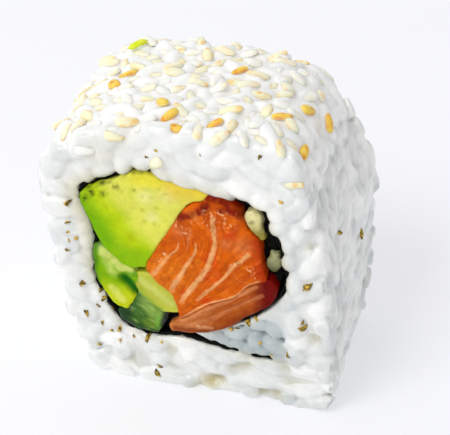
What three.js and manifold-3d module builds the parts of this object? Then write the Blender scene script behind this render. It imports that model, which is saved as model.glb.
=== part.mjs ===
// One uramaki roll, cut from a log: a slab of rice with its flat cut faces at -Y and +Y, sesame seeds
// on its top, a nori sheet coiled inside it and fillings that run through from cut to cut.
// Millimetres, +Z up. The section is drawn in x and z, and the roll rests on its flat underside.
import * as THREE from "three";
import { mergeVertices } from "three/addons/utils/BufferGeometryUtils.js";
import Module from "manifold-3d";

const wasm = await Module();
wasm.setup();

// ---- driving sizes, mm ----
const LENGTH = 25; // cut face to cut face
const GAP = 0.3; // clear space between neighbouring nodes
const EDGE_ROUND = 1.1; // rounding of the cut edges
const SIDE_RELIEF = 0.85; // how far grains stand out of the packed rice
const TOP_RELIEF = 0.5; // the same on the top, where sesame fills the dips
const FACE_RELIEF = 0.55; // the same on the cut faces
const RING_POINTS = 28; // points round the rice section
const NORI_THICK = 0.45;
const NORI_BACK = 0.45; // the nori edge lies this far behind the cut faces
const NORI_POINTS = 58; // points along the coil
const GRAIN = { long: 6.4, wide: 2.9, thick: 2.5, sides: 5, rows: 3 };
const SEED = { long: 3.2, wide: 2.1, thick: 1.3, sides: 4, rows: 3, sink: 0.15 };
const SIDE_GRAINS = 66; // on the two sides
const TOP_GRAINS = 10;
const EDGE_GRAINS = 10; // on each cut edge
const FACE_GRAINS = 36; // on each cut face
const SEEDS = 84;

// The section at the front cut, anticlockwise from the bottom left, with its underside on the floor.
const FRONT_CUT = [
  [-10.0, -0.6], [-4.4, -0.9], [3.1, -0.9], [10.8, -0.8], [19.0, -0.6], [22.9, 1.4], [23.5, 9.0],
  [22.8, 17.8], [21.4, 24.3], [19.9, 30.4], [18.6, 36.3], [17.4, 40.6], [14.6, 43.4], [9.5, 44.0],
  [2.7, 43.9], [-5.7, 43.0], [-11.7, 41.4], [-16.4, 39.4], [-19.1, 36.0], [-19.7, 29.0],
  [-19.0, 21.1], [-18.0, 13.6], [-16.8, 7.2], [-13.9, 2.1],
];
// The same points at the back cut, which is wider and leans less.
const BACK_CUT = [
  [-10.8, -0.6], [-4.4, -0.9], [3.1, -0.9], [10.8, -0.8], [19.8, -0.6], [23.6, 1.6], [24.0, 8.0],
  [24.4, 17.0], [24.7, 24.5], [23.6, 30.0], [20.4, 35.4], [17.6, 39.8], [14.0, 42.8], [9.0, 44.4],
  [1.5, 44.8], [-6.0, 44.9], [-12.0, 43.9], [-17.0, 41.4], [-20.8, 37.2], [-22.0, 29.5],
  [-20.8, 21.1], [-19.4, 13.6], [-18.0, 7.1], [-15.5, 1.6],
];

// The nori coil, from its inner end round over the top and down the left to its outer end.
const COIL = [
  [3.7, 11.0], [7.0, 12.6], [10.6, 14.9], [13.0, 17.0], [14.8, 19.4], [15.7, 21.5], [15.7, 24.0],
  [15.1, 26.6], [14.0, 29.2], [13.2, 31.6], [12.3, 33.0], [10.1, 33.8], [6.0, 34.8], [0.2, 35.8],
  [-2.2, 36.5], [-4.4, 36.6], [-6.4, 35.9], [-8.9, 34.4], [-11.3, 33.1], [-13.2, 31.9],
  [-13.8, 30.4], [-13.3, 28.3], [-12.6, 26.2], [-12.1, 23.5], [-12.3, 20.8], [-12.3, 18.2],
  [-11.9, 15.5], [-10.8, 13.0], [-9.4, 11.1], [-8.2, 9.6], [-6.3, 8.7], [-3.6, 8.4], [-0.6, 9.0],
  [2.1, 9.1], [4.6, 8.8], [7.7, 8.4], [11.0, 8.0], [13.6, 8.2], [15.7, 8.1],
];
const COIL_CLOSES = 33; // the point of the coil that passes under its inner end

// The fillings, each an outline in x and z, how proud it stands of the cut faces, and its colour.
const FILLINGS = [
  {
    name: "salmon_main", proud: 0.35, points: 30, color: 0xe0702c, roughness: 0.35,
    outline: [
      [-3.9, 20.3], [-3.4, 22.0], [-1.4, 26.3], [1.1, 30.7], [2.8, 32.4], [4.8, 33.5], [7.3, 33.0],
      [9.1, 32.0], [10.8, 29.4], [12.0, 28.2], [12.5, 25.3], [13.0, 24.0], [12.6, 22.6],
      [10.2, 20.4], [7.8, 18.6], [4.9, 16.7], [2.5, 14.9], [0.9, 13.6], [0.3, 14.4], [-0.5, 16.0],
      [-1.8, 17.6], [-3.1, 19.1],
    ],
  },
  {
    name: "salmon_lower", proud: 0.1, points: 24, color: 0xb85c2c, roughness: 0.4,
    outline: [
      [0.9, 13.0], [3.0, 14.7], [5.7, 16.7], [8.4, 18.3], [11.0, 20.2], [12.6, 21.5], [14.2, 21.9],
      [14.6, 20.7], [13.9, 19.0], [12.1, 17.2], [9.6, 15.4], [7.5, 13.6], [5.5, 11.9], [2.9, 10.5],
      [0.6, 10.0], [-1.2, 10.0], [-0.5, 11.4],
    ],
  },
  {
    name: "avocado_large", proud: 0.15, points: 28, color: 0xb9cf45, roughness: 0.45,
    outline: [
      [-13.2, 30.6], [-12.4, 31.6], [-10.1, 33.2], [-7.4, 34.8], [-5.0, 35.8], [-2.9, 35.8],
      [-1.1, 35.1], [1.0, 34.5], [2.9, 34.3], [1.9, 32.4], [0.0, 29.2], [-2.7, 23.7], [-3.8, 21.4],
      [-4.7, 20.4], [-6.2, 20.2], [-7.8, 20.9], [-9.7, 22.6], [-11.0, 24.7], [-12.0, 27.0],
      [-12.9, 29.0],
    ],
  },
  {
    name: "avocado_small", proud: -0.1, points: 20, color: 0xb4d428, roughness: 0.45,
    outline: [
      [-11.4, 21.9], [-10.1, 22.2], [-9.0, 21.4], [-7.4, 20.4], [-6.3, 19.6], [-6.7, 18.6],
      [-7.0, 17.6], [-6.9, 16.2], [-6.0, 15.3], [-6.2, 14.2], [-7.4, 12.7], [-8.8, 12.3],
      [-10.2, 13.6], [-11.3, 15.7], [-11.7, 17.8], [-11.7, 20.1],
    ],
  },
  {
    name: "cucumber_pale", proud: -0.2, points: 20, color: 0xc4d478, roughness: 0.35,
    outline: [
      [-6.6, 18.6], [-5.2, 20.2], [-3.3, 20.1], [-1.8, 18.0], [-0.4, 16.0], [0.6, 14.3],
      [0.6, 13.2], [-0.8, 12.7], [-1.8, 13.2], [-3.1, 14.3], [-4.6, 15.6], [-6.1, 16.9],
    ],
  },
  {
    name: "cucumber_green", proud: -0.3, points: 18, color: 0x4f9c34, roughness: 0.3,
    outline: [
      [-8.6, 11.9], [-7.4, 12.4], [-6.2, 13.8], [-5.5, 15.2], [-4.3, 15.5], [-2.9, 14.2],
      [-1.5, 13.1], [-0.8, 12.8], [-1.3, 11.5], [-2.3, 9.9], [-3.2, 9.2], [-4.6, 9.1], [-6.6, 9.3],
      [-8.0, 10.3],
    ],
  },
  {
    name: "sliver_upper", proud: -0.5, points: 12, color: 0xd6da86, roughness: 0.45,
    outline: [
      [9.9, 31.5], [10.2, 32.5], [11.2, 32.8], [11.9, 32.2], [12.5, 31.0], [13.0, 29.6],
      [12.8, 28.6], [11.9, 28.6], [11.0, 29.4], [10.3, 30.4],
    ],
  },
  {
    name: "sliver_lower", proud: -0.6, points: 12, color: 0xa9ae80, roughness: 0.45,
    outline: [
      [13.1, 25.4], [13.7, 26.2], [14.5, 26.0], [14.9, 24.4], [14.9, 22.9], [14.1, 22.5],
      [13.4, 23.8],
    ],
  },
];

// ---- small helpers ----
// A repeatable stream of numbers in 0..1.
function stream(start) {
  let state = start;
  return () => {
    state = (state + 0x6d2b79f5) | 0;
    let t = Math.imul(state ^ (state >>> 15), 1 | state);
    t = (t + Math.imul(t ^ (t >>> 7), 61 | t)) ^ t;
    return ((t ^ (t >>> 14)) >>> 0) / 4294967296;
  };
}

// Evenly spaced points on a smooth curve through the given ones.
function curve(points, count, closed) {
  const path = new THREE.CatmullRomCurve3(
    points.map(([x, z]) => new THREE.Vector3(x, 0, z)),
    closed,
    "centripetal",
  );
  const spaced = path.getSpacedPoints(closed ? count : count - 1).map((p) => [p.x, p.z]);
  return closed ? spaced.slice(0, count) : spaced;
}

// The outward direction at each point of an anticlockwise outline, or the right side of an open line.
function normals(points, closed) {
  const last = points.length - 1;
  return points.map((_, i) => {
    const a = points[i > 0 ? i - 1 : closed ? last : 0];
    const b = points[i < last ? i + 1 : closed ? 0 : last];
    const length = Math.hypot(b[0] - a[0], b[1] - a[1]);
    return [(b[1] - a[1]) / length, (a[0] - b[0]) / length];
  });
}

function grown(points, by) {
  const n = normals(points, true);
  return points.map(([x, z], i) => [x + n[i][0] * by, z + n[i][1] * by]);
}

function anticlockwise(points) {
  const area = THREE.ShapeUtils.area(points.map(([x, z]) => new THREE.Vector2(x, z)));
  return area < 0 ? [...points].reverse() : points;
}

// A closed skin over rings of [x, y, z] that all run anticlockwise seen from -Y.
function loft(rings) {
  const n = rings[0].length;
  const last = (rings.length - 1) * n;
  const index = [];
  for (let k = 0; k < last; k += n)
    for (let i = 0; i < n; i++) {
      const j = (i + 1) % n;
      index.push(k + i, k + n + i, k + j, k + j, k + n + i, k + n + j);
    }
  const flat = (ring) => ring.map(([x, , z]) => new THREE.Vector2(x, z));
  for (const [a, b, c] of THREE.ShapeUtils.triangulateShape(flat(rings[0]), []))
    index.push(a, b, c);
  for (const [a, b, c] of THREE.ShapeUtils.triangulateShape(flat(rings.at(-1)), []))
    index.push(last + a, last + c, last + b);
  const geometry = new THREE.BufferGeometry();
  geometry.setAttribute("position", new THREE.Float32BufferAttribute(rings.flat(2), 3));
  geometry.setIndex(index);
  return geometry;
}

// An outline run along y, its ends drawn in by the given rounding.
function prism(outline, from, to, round = 0) {
  const steps = round
    ? [[from, -round], [from + round * 0.6, 0], [to - round * 0.6, 0], [to, -round]]
    : [[from, 0], [to, 0]];
  return loft(steps.map(([y, by]) => grown(outline, by).map(([x, z]) => [x, y, z])));
}

// A band of even width round an open line, run along y.
function band(line, half, beyond, from, to) {
  const n = normals(line, false);
  const stretch = (i, sign) => [
    line[i][0] + sign * beyond * n[i][1] * -1,
    line[i][1] + sign * beyond * n[i][0],
  ];
  const middle = [stretch(0, -1), ...line.slice(1, -1), stretch(line.length - 1, 1)];
  const side = (sign) =>
    middle.map(([x, z], i) => [x + sign * half * n[i][0], z + sign * half * n[i][1]]);
  return prism(anticlockwise([...side(1), ...side(-1).reverse()]), from, to);
}

function solid(geometry) {
  const plain = geometry.clone();
  plain.deleteAttribute("normal");
  plain.deleteAttribute("uv");
  const merged = mergeVertices(plain, 1e-4);
  return new wasm.Manifold(
    new wasm.Mesh({
      numProp: 3,
      vertProperties: new Float32Array(merged.attributes.position.array),
      triVerts: new Uint32Array(merged.index.array),
    }),
  );
}

// ---- the rice section along the roll ----
const FRONT = curve(FRONT_CUT, RING_POINTS, true);
const BACK = curve(BACK_CUT, RING_POINTS, true);

// The section at y, drawn in by `inset` everywhere but along the underside, and by `relief` as well,
// as a share of the depth to which grains stand out there.
function sectionAt(y, inset, relief = 0) {
  const t = y / LENGTH + 0.5;
  const ring = FRONT.map(([x, z], i) => [x + (BACK[i][0] - x) * t, z + (BACK[i][1] - z) * t]);
  const n = normals(ring, true);
  return ring.map(([x, z], i) => {
    const high = THREE.MathUtils.smoothstep(n[i][1], 0.6, 0.9);
    const depth = inset + relief * (SIDE_RELIEF + (TOP_RELIEF - SIDE_RELIEF) * high);
    const by = depth * (1 - THREE.MathUtils.smoothstep(-n[i][1], 0.3, 0.85));
    return [x - n[i][0] * by, z - n[i][1] * by];
  });
}

// The point of the skin at ring position u and place y, with its outward direction.
function skinAt(u, y, inset, relief = 0) {
  const ring = sectionAt(y, inset, relief);
  const n = normals(ring, true);
  const i = Math.floor(u) % RING_POINTS;
  const j = (i + 1) % RING_POINTS;
  const f = u - Math.floor(u);
  const mix = (a, b) => [a[0] + (b[0] - a[0]) * f, a[1] + (b[1] - a[1]) * f];
  const [x, z] = mix(ring[i], ring[j]);
  const [nx, nz] = mix(n[i], n[j]);
  return { at: new THREE.Vector3(x, y, z), out: new THREE.Vector3(nx, 0, nz).normalize() };
}

function packedRice() {
  const end = LENGTH / 2 - FACE_RELIEF;
  const half = [[0, EDGE_ROUND], [0.6, 0.5], [2.4, 0]];
  const front = half.map(([y, by]) => [y - end, by]);
  const back = half.map(([y, by]) => [end - y, by]).reverse();
  return loft(
    [...front, [0, 0], ...back].map(([y, by]) =>
      sectionAt(y, by, 1).map(([x, z]) => [x, y, z]),
    ),
  );
}

// ---- grains and seeds ----
// A low pebble with its long axis along `along`, lying on `out`; `taper` narrows one end.
function pebble(size, at, out, along, taper = 0) {
  const flatUp = Math.PI * (0.5 - 1 / size.sides);
  const geometry = new THREE.SphereGeometry(1, size.sides, size.rows, flatUp);
  const p = geometry.attributes.position;
  for (let i = 0; i < p.count; i++) {
    const y = p.getY(i);
    const tip = Math.abs(y) > 0.9;
    const girth = (tip ? 1 : 1.08) * (1 - taper * y);
    const half = (tip ? 1 : 1.28) * y * size.long * 0.5;
    p.setXYZ(i, p.getX(i) * size.wide * girth * 0.5, half, p.getZ(i) * size.thick * girth * 0.5);
  }
  const long = along.clone().addScaledVector(out, -along.dot(out)).normalize();
  const wide = long.clone().cross(out);
  const place = new THREE.Matrix4().makeBasis(wide, long, out).setPosition(at);
  geometry.deleteAttribute("normal");
  geometry.deleteAttribute("uv");
  return solid(mergeVertices(geometry, 1e-4).applyMatrix4(place));
}

// Spreads `count` points evenly: each is the farthest of several random tries from those before it.
function spread(count, tries, random, draw) {
  const kept = [];
  while (kept.length < count) {
    let best = null;
    let farthest = -1;
    for (let k = 0; k < tries; k++) {
      const place = draw(random);
      if (!place) continue;
      const nearest = Math.min(99, ...kept.map((other) => other.at.distanceTo(place.at)));
      if (nearest > farthest) {
        farthest = nearest;
        best = place;
      }
    }
    if (best) kept.push(best);
  }
  return kept;
}

function sized(kind, random) {
  const by = 0.9 + 0.2 * random();
  return { ...kind, long: kind.long * (0.85 + 0.3 * random()), wide: kind.wide * by };
}

function inside(points, x, z) {
  let odd = false;
  points.forEach(([ax, az], i) => {
    const [bx, bz] = points[(i + 1) % points.length];
    if (az > z !== bz > z && x < ax + ((z - az) / (bz - az)) * (bx - ax)) odd = !odd;
  });
  return odd;
}

function grains(hole) {
  const random = stream(11);
  const made = [];
  const lean = () => new THREE.Vector3(random() - 0.5, random() - 0.5, random() - 0.5);
  const add = (place, relief) => {
    const size = sized(GRAIN, random);
    const at = place.at.clone().addScaledVector(place.out, relief - size.thick / 2);
    made.push(pebble(size, at, place.out, lean()));
  };
  const onSkin = (count, reach, wanted) => {
    const places = spread(count, 14, random, (r) => {
      const place = skinAt(r() * RING_POINTS, (r() - 0.5) * reach, 0, 1);
      return wanted(place) ? place : null;
    });
    places.forEach((place) => add(place, place.out.z > 0.8 ? TOP_RELIEF : SIDE_RELIEF));
  };
  onSkin(SIDE_GRAINS, LENGTH - 5, ({ at, out }) => at.z > 1.2 && out.z < 0.8);
  onSkin(TOP_GRAINS, LENGTH - 6, ({ out }) => out.z > 0.8);
  for (const way of [-1, 1]) {
    const rim = spread(EDGE_GRAINS, 14, random, (r) => {
      const u = r() * RING_POINTS;
      const y = way * (LENGTH / 2 - 1.1);
      const place = skinAt(u, y, 0.45, 1);
      if (place.at.z < 1.2) return null;
      place.out.y = way * 0.9;
      place.out.normalize();
      return place;
    });
    rim.forEach((place) => add(place, SIDE_RELIEF * 0.85));
    const rimLine = sectionAt(way * (LENGTH / 2), 2.6);
    const clear = grown(hole, 0.4);
    const face = spread(FACE_GRAINS, 14, random, (r) => {
      const x = -21 + 46 * r();
      const z = 0.9 + 43 * r();
      if (!inside(rimLine, x, z) || inside(clear, x, z)) return null;
      return {
        at: new THREE.Vector3(x, way * (LENGTH / 2 - FACE_RELIEF), z),
        out: new THREE.Vector3(0, way, 0),
      };
    });
    face.forEach((place) => add(place, FACE_RELIEF));
  }
  return made;
}

// Sesame lies flat on the top and a little way over its edges.
function seeds() {
  const random = stream(5);
  const places = spread(SEEDS, 8, random, (r) => {
    const u = r() * RING_POINTS;
    const y = (r() - 0.5) * (LENGTH - 2.4);
    const place = skinAt(u, y, SEED.sink);
    const high = place.out.z > 0.55 + 0.35 * r();
    return high && place.at.z > 30 ? place : null;
  });
  return places.map((place) => {
    const size = sized(SEED, random);
    const spin = random() * Math.PI * 2;
    const tip = new THREE.Vector3(
      (random() - 0.5) * 0.3,
      (random() - 0.5) * 0.3,
      0,
    );
    const out = place.out.clone().add(tip).normalize();
    const along = new THREE.Vector3(Math.cos(spin), Math.sin(spin), 0);
    return pebble(size, place.at, out, along, 0.25);
  });
}

// ---- the nodes ----
const coil = curve(COIL, NORI_POINTS, false);
const loop = anticlockwise(curve(COIL.slice(0, COIL_CLOSES + 1), 48, true));
const far = LENGTH;
const coilRoom = NORI_THICK / 2 + GAP;
const coilSlot = solid(band(coil, coilRoom, GAP, -far, far));
const tunnel = solid(prism(loop, -far, far)).add(coilSlot);

function riceSolid() {
  const whole = wasm.Manifold.union([solid(packedRice()), ...grains(loop), ...seeds()]);
  const room = new THREE.BoxGeometry(far * 4, LENGTH + 0.2, far * 4).translate(0, 0, far * 2);
  const cut = whole.subtract(tunnel).intersect(solid(room));
  return cut.decompose().reduce((a, b) => (b.volume() > a.volume() ? b : a));
}

function fillingSolids() {
  const blocks = [coilSlot];
  return FILLINGS.map((filling) => {
    const outline = curve(filling.outline, filling.points, true);
    const ccw = anticlockwise(outline);
    const end = LENGTH / 2 + filling.proud;
    let made = solid(prism(ccw, -end, end, 0.5));
    for (const block of blocks) made = made.subtract(block);
    blocks.push(solid(prism(grown(ccw, GAP + 0.03), -far, far)));
    return made.decompose().reduce((a, b) => (b.volume() > a.volume() ? b : a));
  });
}

function meshOf(name, made, color, roughness) {
  const m = made.getMesh();
  const geometry = new THREE.BufferGeometry();
  const position = new Float32Array(m.numVert * 3);
  for (let i = 0; i < m.numVert; i++)
    position.set(m.vertProperties.subarray(i * m.numProp, i * m.numProp + 3), i * 3);
  geometry.setAttribute("position", new THREE.BufferAttribute(position, 3));
  geometry.setIndex(new THREE.BufferAttribute(new Uint32Array(m.triVerts), 1));
  geometry.computeVertexNormals();
  const material = new THREE.MeshStandardMaterial({ color, roughness, metalness: 0 });
  const mesh = new THREE.Mesh(geometry, material);
  mesh.name = name;
  return mesh;
}

const noriEnd = LENGTH / 2 - NORI_BACK;
const noriSolid = solid(band(coil, NORI_THICK / 2, 0, -noriEnd, noriEnd));
const group = new THREE.Group();
group.name = "uramaki_roll";
group.add(meshOf("rice", riceSolid(), 0xf2f1ec, 0.5));
group.add(meshOf("nori", noriSolid, 0x1a2018, 0.6));
fillingSolids().forEach((made, i) => {
  const { name, color, roughness } = FILLINGS[i];
  group.add(meshOf(name, made, color, roughness));
});

// The origin is the middle of the underside of the whole roll's box.
const box = new THREE.Box3().setFromObject(group);
const middle = box.getCenter(new THREE.Vector3());
group.children.forEach((mesh) => mesh.geometry.translate(-middle.x, -middle.y, -box.min.z));

export default group;
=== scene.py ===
"""An uramaki roll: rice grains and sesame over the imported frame, with its nori coil and fillings.

Shapes are worked out in millimetres in the section's own frame, the one the outlines below are drawn
in, and go to metres in the frame's axes when they become pieces.
"""
import functools
import math
import bmesh
import bpy
import numpy as np
from mathutils import Matrix, Vector, noise
from mathutils.bvhtree import BVHTree
from mathutils.kdtree import KDTree


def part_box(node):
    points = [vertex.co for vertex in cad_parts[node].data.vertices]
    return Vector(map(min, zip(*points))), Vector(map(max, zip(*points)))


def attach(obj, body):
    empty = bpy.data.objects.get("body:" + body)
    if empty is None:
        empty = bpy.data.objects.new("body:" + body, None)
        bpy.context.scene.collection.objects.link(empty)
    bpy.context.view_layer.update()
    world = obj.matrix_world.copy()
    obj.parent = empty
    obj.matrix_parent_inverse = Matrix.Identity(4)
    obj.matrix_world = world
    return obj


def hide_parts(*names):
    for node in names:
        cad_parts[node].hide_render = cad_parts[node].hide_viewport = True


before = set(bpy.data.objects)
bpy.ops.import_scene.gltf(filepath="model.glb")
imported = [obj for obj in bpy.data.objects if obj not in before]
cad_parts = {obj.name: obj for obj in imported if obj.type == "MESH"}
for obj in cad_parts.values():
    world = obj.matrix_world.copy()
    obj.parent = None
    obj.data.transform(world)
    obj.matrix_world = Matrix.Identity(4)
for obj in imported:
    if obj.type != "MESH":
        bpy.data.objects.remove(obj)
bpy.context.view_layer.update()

# ---- sizes, mm ----
MM = 0.001
LENGTH = 25.0
HALF = LENGTH / 2
NORI_THICK = 0.42
NORI_BACK = 0.8
GRAIN_LONG, GRAIN_WIDE, GRAIN_THICK = 6.3, 2.95, 2.6
RICE_VOXEL = 0.21
RICE_TRIANGLES = 190000
EDGE_ROUND = 1.1
CORE_DEPTH, CORE_BACK = 0.85, 0.55

# ---- camera, mm and pixels of a 450 by 435 picture ----
AZIMUTH, ELEVATION = 17.0, 34.0
DISTANCE, FOCAL_PX = 160.0, 1100.0
AIM = np.array([3.573, 0.0, 22.601])
PICTURE_W, PICTURE_H = 450, 435

# ---- the section: x and z at the front cut and at the back cut ----
FRONT_CUT = [
    (-10, -0.6), (-4.4, -0.9), (3.1, -0.9), (10.8, -0.8), (19, -0.6), (22.9, 1.4), (23.5, 9),
    (22.8, 17.8), (21.4, 24.3), (19.9, 30.4), (18.6, 36.3), (17.4, 40.6), (14.6, 43.4), (9.5, 44),
    (2.7, 43.9), (-5.7, 43), (-11.7, 41.4), (-16.4, 39.4), (-19.1, 36), (-19.7, 29),
    (-19, 21.1), (-18, 13.6), (-16.8, 7.2), (-13.9, 2.1),
]
BACK_CUT = [
    (-10.8, -0.6), (-4.4, -0.9), (3.1, -0.9), (10.8, -0.8), (19.8, -0.6), (23.6, 1.6), (24, 8),
    (24.4, 17), (24.7, 24.5), (23.6, 30), (20.4, 35.4), (17.6, 39.8), (14, 42.8), (9, 44.4),
    (1.5, 44.8), (-6, 44.9), (-12, 43.9), (-17, 41.4), (-20.8, 37.2), (-22, 29.5),
    (-20.8, 21.1), (-19.4, 13.6), (-18, 7.1), (-15.5, 1.6),
]
COIL = [
    (3.7, 11), (7, 12.6), (10.6, 14.9), (13, 17), (14.8, 19.4), (15.7, 21.5), (15.7, 24),
    (15.1, 26.6), (14, 29.2), (13.2, 31.6), (12.3, 33), (10.1, 33.8), (6, 34.8), (0.2, 35.8),
    (-2.2, 36.5), (-4.4, 36.6), (-6.4, 35.9), (-8.9, 34.4), (-11.3, 33.1), (-13.1, 32),
    (-13.8, 30.5), (-13.2, 28.3), (-12.4, 26.3), (-11.8, 23.9), (-12, 20.8), (-12.2, 18.2),
    (-11.7, 15.5), (-10.6, 13), (-9.4, 11.1), (-8.2, 9.6), (-6.3, 8.7), (-3.6, 8.4), (-0.6, 9),
    (2.1, 9.1), (4.6, 8.8), (7.7, 8.4), (11, 8), (13.6, 8.2), (15.7, 8.1),
]
COIL_CLOSES = 33

OUTLINES = {
    "salmon_main": [
        (-4, 20.5), (-3.8, 21.8), (-2.6, 24.1), (-1.4, 26.3), (0, 28.6), (0.9, 30.2), (2, 31.9),
        (3, 32.7), (4.4, 33.3), (4.9, 34.2), (7, 34.1), (9, 33.4), (9.6, 31.8), (10.4, 30),
        (11.7, 28.7), (12.2, 27.7), (12.3, 25.6), (12.9, 23.2), (13, 22.2), (10.9, 21),
        (8.8, 18.5), (5.2, 16.4), (1.9, 13.6), (0.7, 12.7), (0.2, 15.1), (-0.4, 16.8), (-1.4, 17.8),
        (-2.8, 18.9),
    ],
    "salmon_lower": [
        (0.2, 12.2), (1.9, 13.8), (5.2, 16.6), (8.8, 18.7), (10.9, 21.2), (12.6, 22.2), (14, 22.3),
        (14.8, 21.1), (14.5, 19.3), (13.5, 17.7), (12.1, 16.5), (10.3, 15.2), (8.9, 13.7),
        (7, 12.2), (4.4, 11), (2.2, 10.4), (-0.6, 10.2), (-1, 11.2),
    ],
    "avocado_large": [
        (-13.4, 31), (-12, 32.3), (-10.2, 33.3), (-8.3, 34.4), (-6, 35.6), (-4.6, 36.1),
        (-3, 36.1), (-1.5, 35.4), (0.5, 34.9), (2.6, 34.7), (4, 34.5), (5.1, 34.2), (4.4, 33.4),
        (3, 32.8), (2, 32), (0.8, 30.2), (0, 28.6), (-1.4, 26.3), (-2.6, 24.1), (-3.8, 21.8),
        (-4.1, 20.5), (-5, 20.5), (-6.5, 20), (-8.3, 20.8), (-9.7, 22.1), (-11, 24.4),
        (-11.8, 25.9), (-12.6, 27.9), (-13.3, 29.7),
    ],
    "avocado_small": [
        (-11.9, 23.1), (-10.4, 23), (-9.1, 22.2), (-7.6, 21.1), (-6.1, 20.3), (-5.4, 19),
        (-5.6, 17.2), (-6, 15.3), (-6.7, 13.7), (-7.4, 12.4), (-8.4, 12.5), (-9.8, 13.4),
        (-10.8, 14.9), (-11.6, 16.7), (-12.1, 19), (-12.1, 21.2),
    ],
    "cucumber_pale": [
        (-5.9, 19.4), (-4.6, 19.7), (-3.2, 19.6), (-1.5, 18.1), (0.4, 16.3), (1, 14.8), (0.4, 13.7),
        (-1.8, 13.2), (-3.6, 14.2), (-5.4, 16.1), (-6.1, 17.6),
    ],
    "cucumber_green": [
        (-9, 11.9), (-7.2, 12.8), (-6, 14.6), (-5.5, 16.4), (-3.7, 15.3), (-2, 13.9),
        (-1.1, 13.4), (-1.3, 12), (-2, 10.5), (-2.9, 9.1), (-4.6, 9), (-6.3, 9.1), (-8.6, 10.4),
    ],
    "sliver_upper": [
        (9.7, 31.6), (10.2, 32.4), (11, 32.6), (11.7, 32.2), (12.1, 31.2), (12.4, 29.8), (12.7, 28.6),
        (12.3, 28.3), (11.4, 29.2), (10.4, 30.3),
    ],
    "sliver_lower": [
        (12.9, 25), (13.6, 26.2), (14.5, 26), (14.9, 24.6), (14.5, 23.2), (13.7, 22.8), (13, 23.6),
    ],
}

# The pale fat lines of the large salmon piece: line, half width at either end, strength.
FAT_LINES = [
    ([(0.9, 26.5), (0.7, 25.1), (-0.5, 23.7), (-1.7, 21.9), (-2.5, 20.7), (-3.2, 19.8)], 0.07, 0.34, 0.75),
    ([(3.3, 26.8), (3.3, 25.3), (2.6, 23.8), (1.8, 22.3), (1, 20.6), (0.1, 18.8), (-0.3, 17.8)],
     0.10, 0.38, 0.9),
    ([(5.9, 31.8), (5.7, 30.1), (6, 28.2), (5.9, 26.2), (5.4, 24.4), (4.8, 22.6), (3.8, 20.7),
      (2.3, 18.3), (1.1, 16.2)], 0.30, 0.34, 1),
    ([(11, 26.6), (9.9, 25.2), (8.8, 24.2), (8, 22.8), (7, 21.2), (5.8, 19.8), (4.6, 18.4),
      (3.5, 16.9)], 0.26, 0.20, 0.9),
    ([(12.7, 22.5), (10.9, 21.3), (8.8, 18.8), (5.2, 16.8), (1.9, 14), (0.8, 13)], 0.14, 0.16, 0.75),
    ([(2.7, 29), (2.3, 27), (2.1, 25.2)], 0.22, 0.12, 0.3),
    ([(8.6, 22.6), (9.4, 21.6), (10.8, 21.6)], 0.05, 0.10, 0.3),
]

rng = np.random.default_rng(20)


# ---- curves and section ----
def evenly(line, count, closed):
    """Points at even steps along a line; a closed one is given with its first point again at the end."""
    run = np.r_[0, np.cumsum(np.linalg.norm(np.diff(line, axis=0), axis=1))]
    at = np.linspace(0, run[-1], count + 1)[:-1] if closed else np.linspace(0, run[-1], count)
    return np.column_stack([np.interp(at, run, line[:, k]) for k in (0, 1)])


def curve(points, count, closed):
    """Evenly spaced points on a centripetal Catmull-Rom curve through the given ones."""
    p = np.array(points, float)
    control = np.vstack([p[-1], p, p[:2]] if closed else [2 * p[0] - p[1], p, 2 * p[-1] - p[-2]])
    pieces = []
    for i in range(1, len(control) - 2):
        a, b, c, d = control[i - 1:i + 3]
        knots = [0.0]
        for u, v in ((a, b), (b, c), (c, d)):
            knots.append(knots[-1] + max(np.linalg.norm(v - u), 1e-6) ** 0.5)
        t0, t1, t2, t3 = knots
        t = np.linspace(t1, t2, 17)[:-1, None]

        def between(u, v, low, high):
            return (high - t) / (high - low) * u + (t - low) / (high - low) * v
        ab, bc, cd = between(a, b, t0, t1), between(b, c, t1, t2), between(c, d, t2, t3)
        pieces.append(between(between(ab, bc, t0, t2), between(bc, cd, t1, t3), t1, t2))
    return evenly(np.vstack([*pieces, p[:1] if closed else p[-1:]]), count, closed)


def outward(points, closed=True):
    """Unit normals to the right of the way round, which is outwards when it runs anticlockwise."""
    if closed:
        along = np.roll(points, -1, 0) - np.roll(points, 1, 0)
    else:
        along = np.gradient(points, axis=0)
    along /= np.linalg.norm(along, axis=1)[:, None]
    return np.column_stack([along[:, 1], -along[:, 0]])


def anticlockwise(points):
    x, z = points[:, 0], points[:, 1]
    area = np.sum(x * np.roll(z, -1) - np.roll(x, -1) * z)
    return points if area > 0 else points[::-1]


def rise(x, low, high):
    t = np.clip((x - low) / (high - low), 0, 1)
    return t * t * (3 - 2 * t)


RING = 160
FRONT = curve(FRONT_CUT, RING, True)
BACK = curve(BACK_CUT, RING, True)


def section(y, inset=0.0):
    """The skin at y, drawn in by `inset` everywhere but along the underside."""
    t = y / LENGTH + 0.5
    ring = FRONT + (BACK - FRONT) * t
    n = outward(ring)
    return ring - n * (inset * (1 - rise(-n[:, 1], 0.3, 0.85)))[:, None]


def inside(ring, points):
    """Which points lie inside a closed ring."""
    odd = np.zeros(len(points), bool)
    x, z = points[:, 0], points[:, 1]
    for (ax, az), (bx, bz) in zip(ring, np.roll(ring, -1, 0)):
        cross = (az > z) != (bz > z)
        if bz != az:
            odd ^= cross & (x < ax + (z - az) / (bz - az) * (bx - ax))
    return odd


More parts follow.
